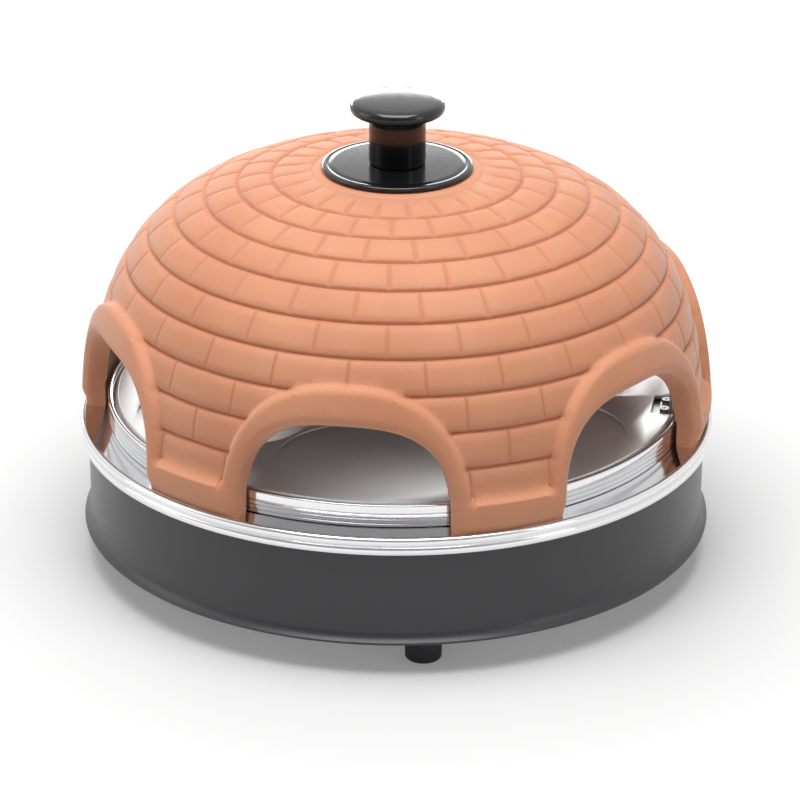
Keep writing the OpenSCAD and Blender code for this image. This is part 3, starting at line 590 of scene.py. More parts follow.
@dataclass
class DomeOutline:
    """The brick surface's outline, a superellipse whose centre lies below the datum."""

    radius: float = 194.4
    height: float = 164.5
    drop: float = 35.0
    power: float = 3.05
    steps: int = 600
    normal_reach: float = 0.6
    points: list[Point] = field(default_factory=list)
    lengths: list[float] = field(default_factory=list)

    def __post_init__(self) -> None:
        """Works out the points and the running length along them, from the datum up."""
        start = math.asin((self.drop / (self.height + self.drop)) ** (self.power / 2))
        for i in range(self.steps + 1):
            angle = start + (math.pi / 2 - start) * i / self.steps
            r = self.radius * abs(math.cos(angle)) ** (2 / self.power)
            z = (self.height + self.drop) * math.sin(angle) ** (2 / self.power) - self.drop
            self.points.append((r, z))
        total = 0.0
        self.lengths.append(total)
        for a, b in zip(self.points, self.points[1:]):
            total += math.dist(a, b)
            self.lengths.append(total)

    def radius_at(self, z: float, inset: float = 0.0) -> float:
        """Radius at a height over the datum, with the surface moved in by an inset."""
        top = self.height - inset + self.drop
        share = max(0.0, 1 - (max(z + self.drop, 0.0) / top) ** self.power)
        return (self.radius - inset) * share ** (1 / self.power)

    def walk(self, s: float) -> Point:
        """The point at a running length; below the datum the wall is upright."""
        if s <= 0:
            return (self.points[0][0], s)
        i = min(bisect.bisect_right(self.lengths, s), self.steps) - 1
        f = (s - self.lengths[i]) / (self.lengths[i + 1] - self.lengths[i])
        (r0, z0), (r1, z1) = self.points[i], self.points[i + 1]
        return (r0 + f * (r1 - r0), z0 + f * (z1 - z0))

    def length_at(self, z: float) -> float:
        """The running length at a height over the datum."""
        if z <= 0:
            return z
        heights = [p[1] for p in self.points]
        i = min(bisect.bisect_right(heights, z), self.steps) - 1
        f = (z - heights[i]) / (heights[i + 1] - heights[i])
        return self.lengths[i] + f * (self.lengths[i + 1] - self.lengths[i])

    def length_to_radius(self, r: float) -> float:
        """The running length at which the surface has drawn in to a radius."""
        for i in range(self.steps, 0, -1):
            if self.points[i][0] >= r:
                return self.lengths[i]
        return 0.0

    def normal(self, s: float) -> Point:
        """The outward direction at a running length, as radius and height."""
        if s <= self.normal_reach:
            return (1.0, 0.0)
        a, b = self.walk(s - self.normal_reach), self.walk(s + self.normal_reach)
        size = math.dist(a, b)
        return ((b[1] - a[1]) / size, -(b[0] - a[0]) / size)


def eased(x: float) -> float:
    """A smooth step from 0 to 1."""
    x = min(max(x, 0.0), 1.0)
    return x * x * (3 - 2 * x)


@dataclass
class TerracottaDome(Maker):
    """The dome: brick courses, six arches with soft raised frames, and a flat seat on top."""

    GROOVE: ClassVar[str] = "groove"
    FAR: ClassVar[float] = 99.0
    BISECTIONS: ClassVar[int] = 18
    RAY_STEPS: ClassVar[int] = 8
    DENSE: ClassVar[int] = 720

    outline: DomeOutline = field(default_factory=DomeOutline)
    arches: int = 6
    foot_low: float = 4.6
    foot_outer: float = 195.8
    foot_inner: float = 184.0
    lip_over: float = 5.6
    lip_swell: float = 0.35
    wall: float = 10.0
    course: float = 22.0
    bricks_round: int = 24
    bed_depth: float = 1.5
    bed_over: float = 1.9
    bed_under: float = 2.8
    upright_depth: float = 0.85
    upright_half: float = 0.95
    upright_share: float = 0.75
    crown: float = 0.75
    crown_power: float = 2.4
    crown_side: float = 0.25
    top_margin: float = 8.0
    arch_half: float = 19.5
    arch_height: float = 73.0
    arch_power: float = 3.0
    frame_width: float = 15.5
    frame_over: float = 30.0
    frame_power: float = 2.5
    frame_raise: float = 5.5
    frame_slope: float = 6.0
    edge_roll: float = 6.0
    edge_drop: float = 4.2
    edge_power: float = 2.3
    band_top: float = 25.8
    band_slope: float = 3.2
    unevenness: float = 0.16
    uneven_round: float = 2.2
    uneven_length: float = 26.0
    taper_start: float = 0.93
    taper_blend: float = 0.1
    joint_core: float = 2.6
    core_gain: float = 1.9
    seat_radius: float = 54.0
    contour_steps: int = 112
    ring_places: tuple[float, ...] = (
        0.0, 0.03, 0.07, 0.12, 0.18, 0.26, 0.38, 0.52, 0.66, 0.76, 0.84, 0.90, 0.95, 1.0,
    )
    inner_top: float = 154.0
    inner_straight: float = 20.5
    inner_curved: float = 24.5
    inner_columns: int = 6
    top_reach: float = 14.0
    seat_margin: float = 3.0
    seat_drop: float = 1.2
    top_rings: tuple[Point, ...] = ((52.6, -1.1), (51.2, -0.2), (49.8, 0.0))
    row_offsets: tuple[float, ...] = (-2.8, -1.7, -0.85, 0.0, 0.6, 1.2, 1.9, 6.0, 10.5, 15.2)
    first_rows: tuple[float, ...] = (5.6, 7.4, 9.8, 13.0, 16.5)
    column_offsets: tuple[float, ...] = (-2.4, -1.3, -0.65, 0.0, 0.65, 1.3, 2.4, 7.2)
    inner_rows: tuple[float, ...] = (
        8.0, 14.0, 20.5, 22.5, 24.5, 34.0, 46.0, 58.0, 70.0, 82.0, 94.0, 105.0, 115.0, 124.0,
        131.0, 137.0, 142.0, 146.0, 149.5, 152.0, 153.3,
    )
    bolt_hole: float = 4.5

    @property
    def sector(self) -> float:
        """Half of the angle that one arch takes up."""
        return math.pi / self.arches

    @property
    def full_length(self) -> float:
        """Running length from the datum up to the seat."""
        return self.outline.length_to_radius(self.seat_radius)

    @property
    def bed_count(self) -> int:
        """Number of bed joints up to the seat."""
        return math.floor((self.full_length - self.top_margin) / self.course)

    @property
    def pitch(self) -> float:
        """Half a brick's length at the foot's radius."""
        return TURN / self.bricks_round / 2 * self.outline.radius

    @property
    def foot_length(self) -> float:
        """Running length at the foot."""
        return self.outline.length_at(self.foot_low)

    def arch_size(self, t: float) -> tuple[float, float, float]:
        """Half width, height and exponent of the arch's outline at a share of the frame."""
        half = self.outline.radius * math.tan(math.radians(self.arch_half))
        power = self.arch_power + (self.frame_power - self.arch_power) * t
        return (half + self.frame_width * t, self.arch_height + self.frame_over * t, power)

    def contour(self, t: float) -> list[Point]:
        """The arch's outline at a share of the frame, in evenly spaced points.

        Args:
            t: 0 at the opening's edge, 1 at the frame's outer edge.

        Returns:
            Points as half width and height, from the right foot over to the left foot.
        """
        half, height, power = self.arch_size(t)
        dense = [(half, self.foot_low)]
        count = self.DENSE
        for i in range(count + 1):
            angle = math.pi * i / count
            c, s = math.cos(angle), math.sin(angle)
            x = half * math.copysign(abs(c) ** (2 / power), c)
            dense.append((x, height * abs(s) ** (2 / power)))
        dense.append((-half, self.foot_low))
        lengths = [0.0]
        for a, b in zip(dense, dense[1:]):
            lengths.append(lengths[-1] + math.dist(a, b))
        made = []
        for k in range(self.contour_steps + 1):
            goal = lengths[-1] * k / self.contour_steps
            i = min(max(bisect.bisect_left(lengths, goal), 1), len(dense) - 1)
            f = (goal - lengths[i - 1]) / max(lengths[i] - lengths[i - 1], 1e-9)
            a, b = dense[i - 1], dense[i]
            made.append((a[0] + f * (b[0] - a[0]), a[1] + f * (b[1] - a[1])))
        return made

    def unrolled(self, x: float, z: float) -> Vector:
        """A point of the arch's plane, brought onto the brick surface along its ray to the axis.

        Args:
            x: Distance from the arch's middle line, in the plane at the foot's radius.
            z: Height over the datum in that plane.

        Returns:
            Its place on the unrolled surface: angle times the foot's radius, and length.
        """
        reach = math.hypot(x, self.outline.radius)
        share = 1.0
        for _ in range(self.RAY_STEPS):
            share = self.outline.radius_at(z * share) / reach
        height = z * share if z > 0 else z
        along = math.atan2(x, self.outline.radius) * self.outline.radius
        return Vector((along, self.outline.length_at(height), 0))

    def frame_share(self, x: float, s: float) -> float:
        """Where a point of the unrolled surface lies across the frame of its arch.

        Args:
            x: Angle times the foot's radius, from the arch's middle line.
            s: Running length.

        Returns:
            0 at the opening's edge, 1 at the frame's outer edge, at most 2.
        """
        r, z = self.outline.walk(s)
        angle = x / self.outline.radius
        plane_x = abs(math.tan(angle)) * self.outline.radius
        plane_z = z * (math.hypot(plane_x, self.outline.radius) / r) if z > 0 else 0.0
        low, high = -0.4, 2.0
        for _ in range(self.BISECTIONS):
            middle = (low + high) / 2
            half, height, power = self.arch_size(middle)
            if (plane_x / half) ** power + (plane_z / height) ** power > 1:
                low = middle
            else:
                high = middle
        return (low + high) / 2

    def frame_reach(self, x: float, s: float) -> Point:
        """How far a point lies inside the frame's two edges, in millimetres.

        Args:
            x: Angle times the foot's radius, from the arch's middle line.
            s: Running length.

        Returns:
            Distance from the opening's edge, and from the frame's outer edge.
        """
        if s > self.outline.length_at(self.arch_height + self.frame_over + self.top_margin):
            return (self.FAR, -self.FAR)
        step = 0.8
        t = self.frame_share(x, s)
        across = self.frame_share(x + step, s) - self.frame_share(x - step, s)
        up = self.frame_share(x, s + step) - self.frame_share(x, s - step)
        width = 2 * step / max(math.hypot(across, up), 1e-3)
        return (t * width, (1 - t) * width)

    def brick_relief(self, x: float, s: float) -> tuple[float, float]:
        """Height of the bricks over the outline, and how much of a groove the place is, which sets
        the clay's painted shade.
        """
        row = s / self.course
        k = math.floor(row)
        bed_count = self.bed_count
        nearest = round(row)
        groove = 0.0
        relief = 0.0
        r = self.outline.walk(s)[0]
        if 2 <= nearest <= bed_count:
            away = s - nearest * self.course
            share = eased(1 - abs(away) / (self.bed_over if away > 0 else self.bed_under))
            relief -= self.bed_depth * share
            groove = share
        if 1 <= k <= bed_count:
            pitch = TURN / self.bricks_round
            turn = (k % 2) / 2
            place = x / self.outline.radius / pitch - turn
            away = abs(place - round(place)) * pitch * r
            share = eased(1 - away / (self.upright_half * 1.5))
            groove = max(groove, self.upright_share * share)
            relief = min(relief, -self.upright_depth * share)
            across = min(away / (pitch * r / 2), 1.0)
            relief -= self.crown_side * (1 - across) ** 3
        if k <= bed_count:
            span = self.course
            if k == bed_count:
                span = self.full_length - bed_count * self.course
            up = 2 * (s - k * self.course) / span - 1
            relief -= self.crown * abs(up) ** self.crown_power * (1 if k >= 1 else 0)
        return relief, groove

    def relief(self, x: float, s: float) -> tuple[float, float]:
        """Height of the finished surface over the outline, and its groove share on the brick face
        only, which sets the clay's painted shade.
        """
        bricks, groove = self.brick_relief(x, s)
        inner, outer = self.frame_reach(x, s)
        r, z = self.outline.walk(s)
        limit = self.foot_outer + max(z - self.lip_over, 0.0) * self.lip_swell - r
        raised = min(self.frame_raise, limit)
        frame_ease = eased(outer / self.frame_slope)
        band_ease = eased((self.band_top - s) / self.band_slope)
        cover = 1 - (1 - frame_ease) * (1 - band_ease)
        angle = self.arches * x / self.outline.radius
        across, along = self.uneven_round, s / self.uneven_length
        place = Vector((across * math.cos(angle), across * math.sin(angle), along))
        bricks += self.unevenness * noise.noise(place)
        height = bricks * (1 - cover) + raised * cover
        if inner < self.edge_roll:
            height -= self.edge_drop * (1 - max(inner, 0.0) / self.edge_roll) ** self.edge_power
        return height, groove * (1 - cover)

    def outer_point(self, x: float, s: float) -> tuple[Vector, float]:
        """Place in space of a point of the unrolled surface, and its groove share for the clay's
        painted shade.
        """
        height, groove = self.relief(x, s)
        r, z = self.outline.walk(s)
        nr, nz = self.outline.normal(s)
        angle = self.spread(x, s)
        radius = r + nr * height
        return (
            Vector((radius * math.sin(angle), -radius * math.cos(angle), z + nz * height)),
            groove,
        )

    def spread(self, x: float, s: float) -> float:
        """The angle of a column, which keeps the upright joints one width all the way up."""
        pitch = self.pitch
        r = self.outline.walk(s)[0]
        shrink = r / self.outline.radius
        if shrink > self.taper_start:
            return x / self.outline.radius
        line = round(x / pitch)
        away = x - line * pitch
        core = self.joint_core
        keep = min(1.0, shrink * self.core_gain) * core
        if abs(away) <= core:
            moved = away / core * keep
        else:
            moved = keep + (abs(away) - core) / (pitch / 2 - core) * (pitch / 2 * shrink - keep)
            moved = math.copysign(moved, away)
        blend = eased((self.taper_start - shrink) / self.taper_blend)
        plain = away * shrink
        return (line * pitch + (plain + (moved - plain) * blend) / shrink) / self.outline.radius

    def inner_radius(self, z: float) -> float:
        """Radius of the dome's inside at a height over the datum."""
        straight, curved = self.inner_straight, self.inner_curved
        above = self.outline.radius_at(max(z, curved), self.wall)
        if z >= curved:
            return above
        f = eased((z - straight) / (curved - straight)) if z > straight else 0.0
        return self.foot_inner + (above - self.foot_inner) * f

    def inner_point(self, x: float, z: float) -> Vector:
        """Place in space of a point of the dome's inside."""
        angle = x / self.outline.radius
        r = self.inner_radius(z)
        return Vector((r * math.sin(angle), -r * math.cos(angle), z))

    def inner_height(self, s: float) -> float:
        """Height at which the ray from the outside to the axis meets the inside."""
        r, z = self.outline.walk(s)
        if z <= 0:
            return z
        share = 1.0
        for _ in range(self.RAY_STEPS):
            share = self.inner_radius(z * share) / r
        return max(z * share, self.foot_low)

    @staticmethod
    def drawn_out(bm: bmesh.types.BMesh, chain: list, places: list[Vector]) -> list:
        """Extrudes a chain of vertices and moves the new ones.

        Args:
            bm: The mesh.
            chain: The vertices, in order, with an edge between each two.
            places: Where the new vertices go.

        Returns:
            The new chain.
        """
        edges = [bm.edges.get((a, b)) for a, b in zip(chain, chain[1:])]
        made = bmesh.ops.extrude_edge_only(bm, edges=edges)
        fresh = {v for v in made["geom"] if isinstance(v, bmesh.types.BMVert)}
        result = []
        for old, place in zip(chain, places):
            new = next(e.other_vert(old) for e in old.link_edges if e.other_vert(old) in fresh)
            new.co = place
            result.append(new)
        return result

    @staticmethod
    def scored(bm: bmesh.types.BMesh, lines: list[float], axis: int, mark: int) -> None:
        """Cuts the faces of one mark along straight lines of the unrolled surface.

        Args:
            bm: The mesh.
            lines: Places of the cuts.
            axis: 0 cuts across X, 1 across Y.
            mark: Material index of the faces that are cut.
        """
        direction = Vector((1, 0, 0)) if axis == 0 else Vector((0, 1, 0))
        for place in lines:
            faces = [f for f in bm.faces if f.material_index == mark]
            edges = list({e for f in faces for e in f.edges})
            verts = list({v for f in faces for v in f.verts})
            bmesh.ops.bisect_plane(
                bm,
                geom=verts + edges + faces,
                dist=1e-4,
                plane_co=direction * place,
                plane_no=direction,
            )

    def outer_rows(self) -> list[float]:
        """Running lengths of the rows of the brick surface."""
        rows = list(self.first_rows)
        for k in range(1, self.bed_count + 1):
            rows += [k * self.course + offset for offset in self.row_offsets]
        return [s for s in rows if self.foot_length + 0.5 < s < self.full_length - 0.5]

    def outer_columns(self) -> list[float]:
        """Places of the columns of the brick surface, across one arch."""
        pitch = self.pitch
        half = self.sector * self.outline.radius
        offsets = (*self.column_offsets, pitch / 2, pitch - self.column_offsets[-1])
        columns = []
        for line in range(-5, 5):
            columns += [line * pitch + offset for offset in offsets]
        return [x for x in columns if -half + 1e-3 < x < half - 1e-3]

    def unrolled_sector(self) -> bmesh.types.BMesh:
        """The unrolled surface round one arch: frame rings, jamb, and cut brick panels.

        Returns:
            A mesh with the outside at Z = 0, the jamb at -1 and the inside at -2.
        """
        outside, inside = 1, 2
        bm = bmesh.new()
        rings = []
        for t in self.ring_places:
            ring = [self.unrolled(x, z) for x, z in self.contour(t)]
            ring[0].y = ring[-1].y = self.foot_length
            rings.append(ring)
        first = [bm.verts.new(p) for p in rings[0]]
        for a, b in zip(first, first[1:]):
            bm.edges.new((a, b))
        chain = first
        for ring in rings[1:]:
            chain = self.drawn_out(bm, chain, ring)
        half = self.sector * self.outline.radius
        top = self.full_length
        foot = self.foot_length
        corners = [(-half, foot), (-half, top), (half, top), (half, foot)]
        border = [bm.verts.new((x, y, 0)) for x, y in corners]
        panel = bm.faces.new(chain + border)
        panel.material_index = outside
        self.scored(bm, self.outer_rows(), 1, outside)
        self.scored(bm, self.outer_columns(), 0, outside)
        middle = [Vector((v.co.x, v.co.y, -1)) for v in first]
        chain = self.drawn_out(bm, first, middle)
        deep = [Vector((v.co.x, self.inner_height(v.co.y), -2)) for v in first]
        chain = self.drawn_out(bm, chain, deep)
        foot, top = self.foot_low, self.inner_top
        corners = [(-half, foot), (-half, top), (half, top), (half, foot)]
        border = [bm.verts.new((x, y, -2)) for x, y in corners]
        panel = bm.faces.new(chain + border)
        panel.material_index = inside
        self.scored(bm, list(self.inner_rows), 1, inside)
        count = self.inner_columns
        self.scored(bm, [half * k / count for k in range(1 - count, count)], 0, inside)
        return bm

    def bent(self, bm: bmesh.types.BMesh) -> None:
        """Bends the unrolled sector onto the dome."""
        groove = bm.verts.layers.float.new(self.GROOVE)
        datum = Vector((0, 0, self.levels.datum))
        reach = self.full_length
        for v in bm.verts:
            x, y, layer = v.co
            if layer > -0.5:
                place, share = self.outer_point(x, min(y, reach))
                # the groove share is kept for the clay, which paints shade into the grooves
                v[groove] = share
            elif layer > -1.5:
                outer, _ = self.outer_point(x, y)
                inner = self.inner_point(x, self.inner_height(y))
                place = outer.lerp(inner, 0.3)
            else:
                place = self.inner_point(x, y)
            v.co = place + datum

    def closed_top(self, bm: bmesh.types.BMesh) -> None:
        """Draws the surface in over the seat to the bolt's hole and joins it to the inside."""
        datum = self.levels.datum
        seat = datum + self.outline.height - self.seat_drop
        high = datum + self.inner_top - self.top_reach
        edges = [e for e in bm.edges if e.is_boundary and min(v.co.z for v in e.verts) > high]
        split = self.seat_radius - self.seat_margin
        outer = [e for e in edges if e.verts[0].co.xy.length > split]
        inner = [e for e in edges if e.verts[0].co.xy.length < split]
        for radius, drop in (*self.top_rings, (self.bolt_hole, 0.0)):
            outer = self.drawn_in(bm, outer, radius, seat + drop)
        inner = self.drawn_in(bm, inner, self.bolt_hole, datum + self.inner_top)
        bmesh.ops.bridge_loops(bm, edges=outer + inner)

    @staticmethod
    def drawn_in(bm: bmesh.types.BMesh, edges: list, radius: float, height: float) -> list:
        """Extrudes a closed loop of edges to a circle round the axis.

        Args:
            bm: The mesh.
            edges: The loop.
            radius: Radius of the new loop.
            height: Its height.

        Returns:
            The new loop's edges.
        """
        made = bmesh.ops.extrude_edge_only(bm, edges=edges)["geom"]
        for v in made:
            if isinstance(v, bmesh.types.BMVert):
                flat = v.co.xy.normalized() * radius
                v.co = Vector((flat.x, flat.y, height))
        fresh = {v for v in made if isinstance(v, bmesh.types.BMVert)}
        return [e for e in made if isinstance(e, bmesh.types.BMEdge) and set(e.verts) <= fresh]

    def build(self) -> bpy.types.Object:
        """Models the dome and lets it stand for its node.

        Returns:
            The piece.
        """
        bm = self.unrolled_sector()
        self.bent(bm)
        whole = bm.verts[:] + bm.edges[:] + bm.faces[:]
        for k in range(1, self.arches):
            copy = bmesh.ops.duplicate(bm, geom=whole)["geom"]
            bmesh.ops.rotate(
                bm,
                cent=(0, 0, 0),
                matrix=Matrix.Rotation(TURN * k / self.arches, 3, "Z"),
                verts=[v for v in copy if isinstance(v, bmesh.types.BMVert)],
            )
        bmesh.ops.remove_doubles(bm, verts=bm.verts, dist=0.01)
        self.closed_top(bm)
        feet = [e for e in bm.edges if e.is_boundary]
        bmesh.ops.holes_fill(bm, edges=feet, sides=0)
        for face in bm.faces:
            face.material_index = 0
        bmesh.ops.recalc_face_normals(bm, faces=bm.faces)
        LOG.info("dome open edges: %d", sum(1 for e in bm.edges if not e.is_manifold))
        piece = object_from(bm, "terracotta_dome", 50)
        return self.finish_piece(piece, "dome", Finish.TERRACOTTA, "dome")


# ---- Steel and painted pieces of the base ---------------------------------------------------


@dataclass
class SteelBase(Maker):
    """The turned pieces of the base: painted wall, rolled rim and ribbed ring."""

    facets: int = 288
    sheet: float = 1.2
    rim_width: float = 3.6
    rim_height: float = 11.0
    crease_place: float = 5.5
    crease_depth: float = 1.1
    channel_width: float = 14.4
    seam_width: float = 9.0
    ring_lip: float = 2.6
    ledge_width: float = 15.0
    ledge_depth: float = 3.3
    ribs: int = 3
    rib_depth: float = 0.8
    wall_sheet: float = 1.5
    flange: float = 11.0
    flare: float = 4.0
    flare_height: float = 7.5
    flare_power: float = 2.2
    flare_steps: int = 12
    switch_hole: tuple[float, float] = (18.1, 28.1)
    lens_hole: tuple[float, float, float] = (180.0, -26.0, 4.0)
    gland_hole: tuple[float, float, float] = (205.0, 0.0, 7.0)
    hole_depth: float = 38.0
    cutter: float = 16.0

    @property
    def ring_radius(self) -> float:
        """Outer radius of the ring's wall."""
        return self.levels.rim_outer - self.rim_width - self.channel_width

    def rim(self) -> bpy.types.Object:
        """The rim: two rolls with a crease between them, and the channel for the dome."""
        outer = self.levels.rim_outer
        top = self.levels.rim_top
        low = top - self.rim_height
        lip_in = outer - self.rim_width
        floor = self.levels.channel
        under = floor - self.sheet
        inner = self.ring_radius - self.seam_width
        crease = top - self.crease_place
        outline = [(inner, under), (lip_in + self.sheet, under), (lip_in + self.sheet, low)]
        outline += [(outer - 1.3, low), (outer - 0.75, low + 0.15), (outer - 0.35, low + 0.6)]
        outline += [(outer - 0.1, low + 1.4), (outer, low + 2.4), (outer - 0.05, low + 3.4)]
        outline += [(outer - 0.25, crease - 1.1), (outer - 0.6, crease - 0.5)]
        deep = outer - self.crease_depth
        outline += [(deep, crease - 0.2), (deep, crease + 0.2), (outer - 0.5, crease + 0.5)]
        outline += [(outer - 0.15, crease + 1.1), (outer, crease + 2.0)]
        outline += arc((outer - 2.2, top - 2.2), 2.2, 0, 90, 9)
        outline += arc((lip_in + 1.1, top - 1.1), 1.1, 90, 180, 6)
        outline += [(lip_in, floor + 0.5), (lip_in - 0.15, floor + 0.15), (lip_in - 0.5, floor)]
        outline += [(inner, floor)]
        piece = object_from(turned(outline, self.facets), "rolled_rim", 40)
        return self.finish_piece(piece, "base", Finish.POLISHED_STEEL, "rim_channel")

    def ring(self) -> bpy.types.Object:
        """The plate ring: a double wall with rolled ribs, and the ledge under the plate."""
        wall = self.ring_radius
        floor = self.levels.channel
        top = self.levels.ring_top
        ledge = top - self.ledge_depth
        ledge_in = wall - self.ledge_width
        inner_wall = wall - self.ring_lip
        foot_in = wall - self.seam_width
        low = floor + 2
        pitch = (top - self.ledge_depth - low) / self.ribs
        rolls = ((0.0, 0.0), (0.06, 0.3), (0.14, 1.0), (0.22, 1.0), (0.30, 0.3), (0.38, 0.0))
        outline = [(foot_in, floor), (wall - 0.6, floor), (wall, floor + 0.5)]
        for i in range(self.ribs):
            base = low + i * pitch
            for share, depth in rolls:
                outline.append((wall - self.rib_depth * depth, base + share * pitch))
            outline.append((wall, base + 0.95 * pitch))
        outline += arc((wall - 1.1, top - 1.1), 1.1, 0, 90, 6)
        outline += arc((inner_wall + 1.1, top - 1.1), 1.1, 90, 180, 6)
        outline += [(inner_wall, ledge + 0.7), (inner_wall - 0.2, ledge + 0.2)]
        outline += [(inner_wall - 0.7, ledge), (ledge_in, ledge), (ledge_in, ledge - self.sheet)]
        outline += [(inner_wall, ledge - self.sheet), (inner_wall, floor + self.sheet)]
        outline += [(foot_in, floor + self.sheet)]
        piece = object_from(turned(outline, self.facets), "ribbed_ring", 40)
        return self.finish_piece(piece, "base", Finish.POLISHED_STEEL, "plate_ring")

    def wall(self) -> bpy.types.Object:
        """The painted wall: flanged above and below, flared at its foot, with three holes."""
        face = self.levels.wall_outer
        foot = self.levels.foot_top
        top = self.levels.channel - self.sheet
        seat = foot + self.sheet
        inside = face - self.wall_sheet
        edge = face + self.flare
        flange_in = self.ring_radius - self.flange
        outline = [(inside - self.flange, seat), (inside - self.flange, seat + self.wall_sheet)]
        outline += [(inside, seat + self.wall_sheet), (inside, top - self.wall_sheet)]
        outline += [(flange_in, top - self.wall_sheet), (flange_in, top)]
        outline += [(face - 0.6, top), (face, top - 0.6)]
        for i in range(self.flare_steps + 1):
            share = i / self.flare_steps
            height = foot + self.flare_height * (1 - share) + 1.4 * share
            outline.append((face + self.flare * share**self.flare_power, height))
        outline += [(edge, foot + 0.9), (edge - 0.25, foot + 0.3), (edge - 0.9, foot - 0.4)]
        outline += [(edge - 1.8, foot - 1.0), (face, foot - 1.0), (face - 0.01, seat)]
        piece = object_from(turned(outline, self.facets), "painted_wall", 35)
        width, height = self.switch_hole
        level = self.levels.datum - self.hole_depth
        cutters = [box_shape(Vector((width, self.cutter, height)), Vector((0, face, level)))]
        for azimuth, across, r in (self.lens_hole, self.gland_hole):
            bm = bmesh.new()
            bmesh.ops.create_cone(
                bm, cap_ends=True, segments=48, radius1=r, radius2=r, depth=self.cutter
            )
            lay = Matrix.Rotation(math.pi / 2, 3, "X")
            bmesh.ops.rotate(bm, cent=(0, 0, 0), matrix=lay, verts=bm.verts)
            turn_to(bm, azimuth, face)
            bmesh.ops.translate(bm, vec=(across, 0, level), verts=bm.verts)
            cutters.append(bm)
        cut_away(piece, [object_from(bm, f"cutter_{i}", 30) for i, bm in enumerate(cutters)])
        return self.finish_piece(piece, "base", Finish.BLACK_SHELL, "base_housing")

    def build(self) -> None:
        """Builds the base's turned pieces."""
        self.rim()
        self.ring()
        self.wall()


# ---- Pieces that keep the construction's shape, with soft shading ---------------------------


@dataclass
class KeptShapes(Maker):
    """Pieces taken over from the construction, merged so that their round faces shade smoothly."""

    FLAT_ANGLE: ClassVar[float] = 0.5
    EDGE_ANGLE: ClassVar[float] = 35.0

    nodes: tuple[tuple[str, str, float], ...] = (
        ("baking_plate", "base", 0.35),
        ("feet", "base", 0.5),
        ("upper_reflector", "base", 0.2),
        ("upper_element", "base", 0.0),
        ("strap_front", "base", 0.25),
        ("strap_right", "base", 0.25),
        ("strap_rear", "base", 0.25),
        ("bottom_cover", "base", 0.2),
        ("switch_body", "base", 0.3),
        ("switch_rocker", "rocker", 0.3),
        ("indicator_lens", "base", 0.3),
        ("cord_gland", "base", 0.3),
        ("knob_gasket", "dome", 0.0),
        ("lead_conduit", "base", 0.0),
    )

    def smoothed(self, node: str, body: str, edge: float, finish: Finish) -> None:
        """Merges a copy of a node, rounds its edges a little and lets it stand for the node.

        Args:
            node: The node's name.
            body: The body that it moves with.
            edge: Width of the rounded edges in millimetres, or 0 for none.
            finish: Its finish.
        """
        bm = bmesh.new()
        bm.from_mesh(frame["nodes"][node].data)
        bmesh.ops.scale(bm, vec=(1 / MM, 1 / MM, 1 / MM), verts=bm.verts)
        bmesh.ops.remove_doubles(bm, verts=bm.verts, dist=1e-3)
        bmesh.ops.dissolve_limit(
            bm,
            angle_limit=math.radians(self.FLAT_ANGLE),
            use_dissolve_boundaries=False,
            verts=bm.verts,
            edges=bm.edges,
        )
        if edge > 0:
            bend = math.radians(self.EDGE_ANGLE)
            sharp = [e for e in bm.edges if e.is_manifold and e.calc_face_angle(0.0) > bend]
            bmesh.ops.bevel(
                bm,
                geom=sharp,
                offset=edge,
                affect="EDGES",
                segments=2,
                profile=0.5,
                material=-1,
                clamp_overlap=True,
            )
        bmesh.ops.recalc_face_normals(bm, faces=bm.faces)
        piece = object_from(bm, f"{node}_piece", 30)
        self.finish_piece(piece, body, finish, node)

    def build(self) -> None:
        """Makes each piece in the finish that the record names for it."""
        finishes = finish_by_node()
        for node, body, edge in self.nodes:
            self.smoothed(node, body, edge, finishes[node])


# ---- Knob -----------------------------------------------------------------------------------


@dataclass
class PhenolicKnob(Maker):
    """The knob and its flange, turned from glossy black phenolic."""

    facets: int = 160
    stem: float = 17.6
    disc: float = 29.4
    disc_height: float = 12.5
    flange_radius: float = 46.8
    bolt_hole: float = 4.3

    def knob(self) -> bpy.types.Object:
        """The knob: a waisted stem under a disc with a shallow crown."""
        low, top = (corner.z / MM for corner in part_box("knob"))
        neck = top - self.disc_height
        hole = self.bolt_hole
        outline = [(0.0, low + 24), (hole, low + 24), (hole, low), (self.stem - 1.2, low)]
        outline += [(self.stem - 0.4, low + 0.5), (self.stem, low + 2.0)]
        outline += [(self.stem, neck - 3.0), (self.stem + 0.35, neck - 1.2)]
        outline += [(self.stem + 1.6, neck + 0.1), (self.stem + 4.0, neck + 1.2)]
        outline += [(self.disc - 5.0, neck + 3.2)]
        outline += arc((self.disc - 3.9, neck + 7.4), 3.9, -62, 72, 14)
        outline += [(self.disc * 0.75, top - 0.75), (self.disc * 0.5, top - 0.3)]
        outline += [(self.disc * 0.25, top - 0.08), (0.0, top)]
        piece = object_from(turned(outline, self.facets), "knob_turning", 40)
        return self.finish_piece(piece, "dome", Finish.BLACK_PHENOLIC, "knob")

    def flange(self) -> bpy.types.Object:
        """The flange: a flat disc with a fine raised line near its edge."""
        low, top = (corner.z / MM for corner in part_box("knob_flange"))
        edge = self.flange_radius
        outline = [(self.bolt_hole, low), (edge - 1.4, low)]
        outline += arc((edge - 1.5, low + 1.5), 1.5, -70, 62, 8)
        outline += [(edge - 3.2, top - 0.45), (edge - 3.8, top - 0.75), (edge - 4.6, top - 0.75)]
        outline += [(edge - 5.4, top - 0.3), (edge - 8.0, top - 0.22), (self.stem + 6, top - 0.08)]
        outline += [(self.stem + 1.5, top), (self.bolt_hole, top)]
        piece = object_from(turned(outline, self.facets), "knob_flange_turning", 40)
        return self.finish_piece(piece, "dome", Finish.BLACK_PHENOLIC, "knob_flange")

    def build(self) -> None:
        """Builds the knob's pieces."""
        self.knob()
        self.flange()


# ---- Nodes of the frame that keep their shape -----------------------------------------------


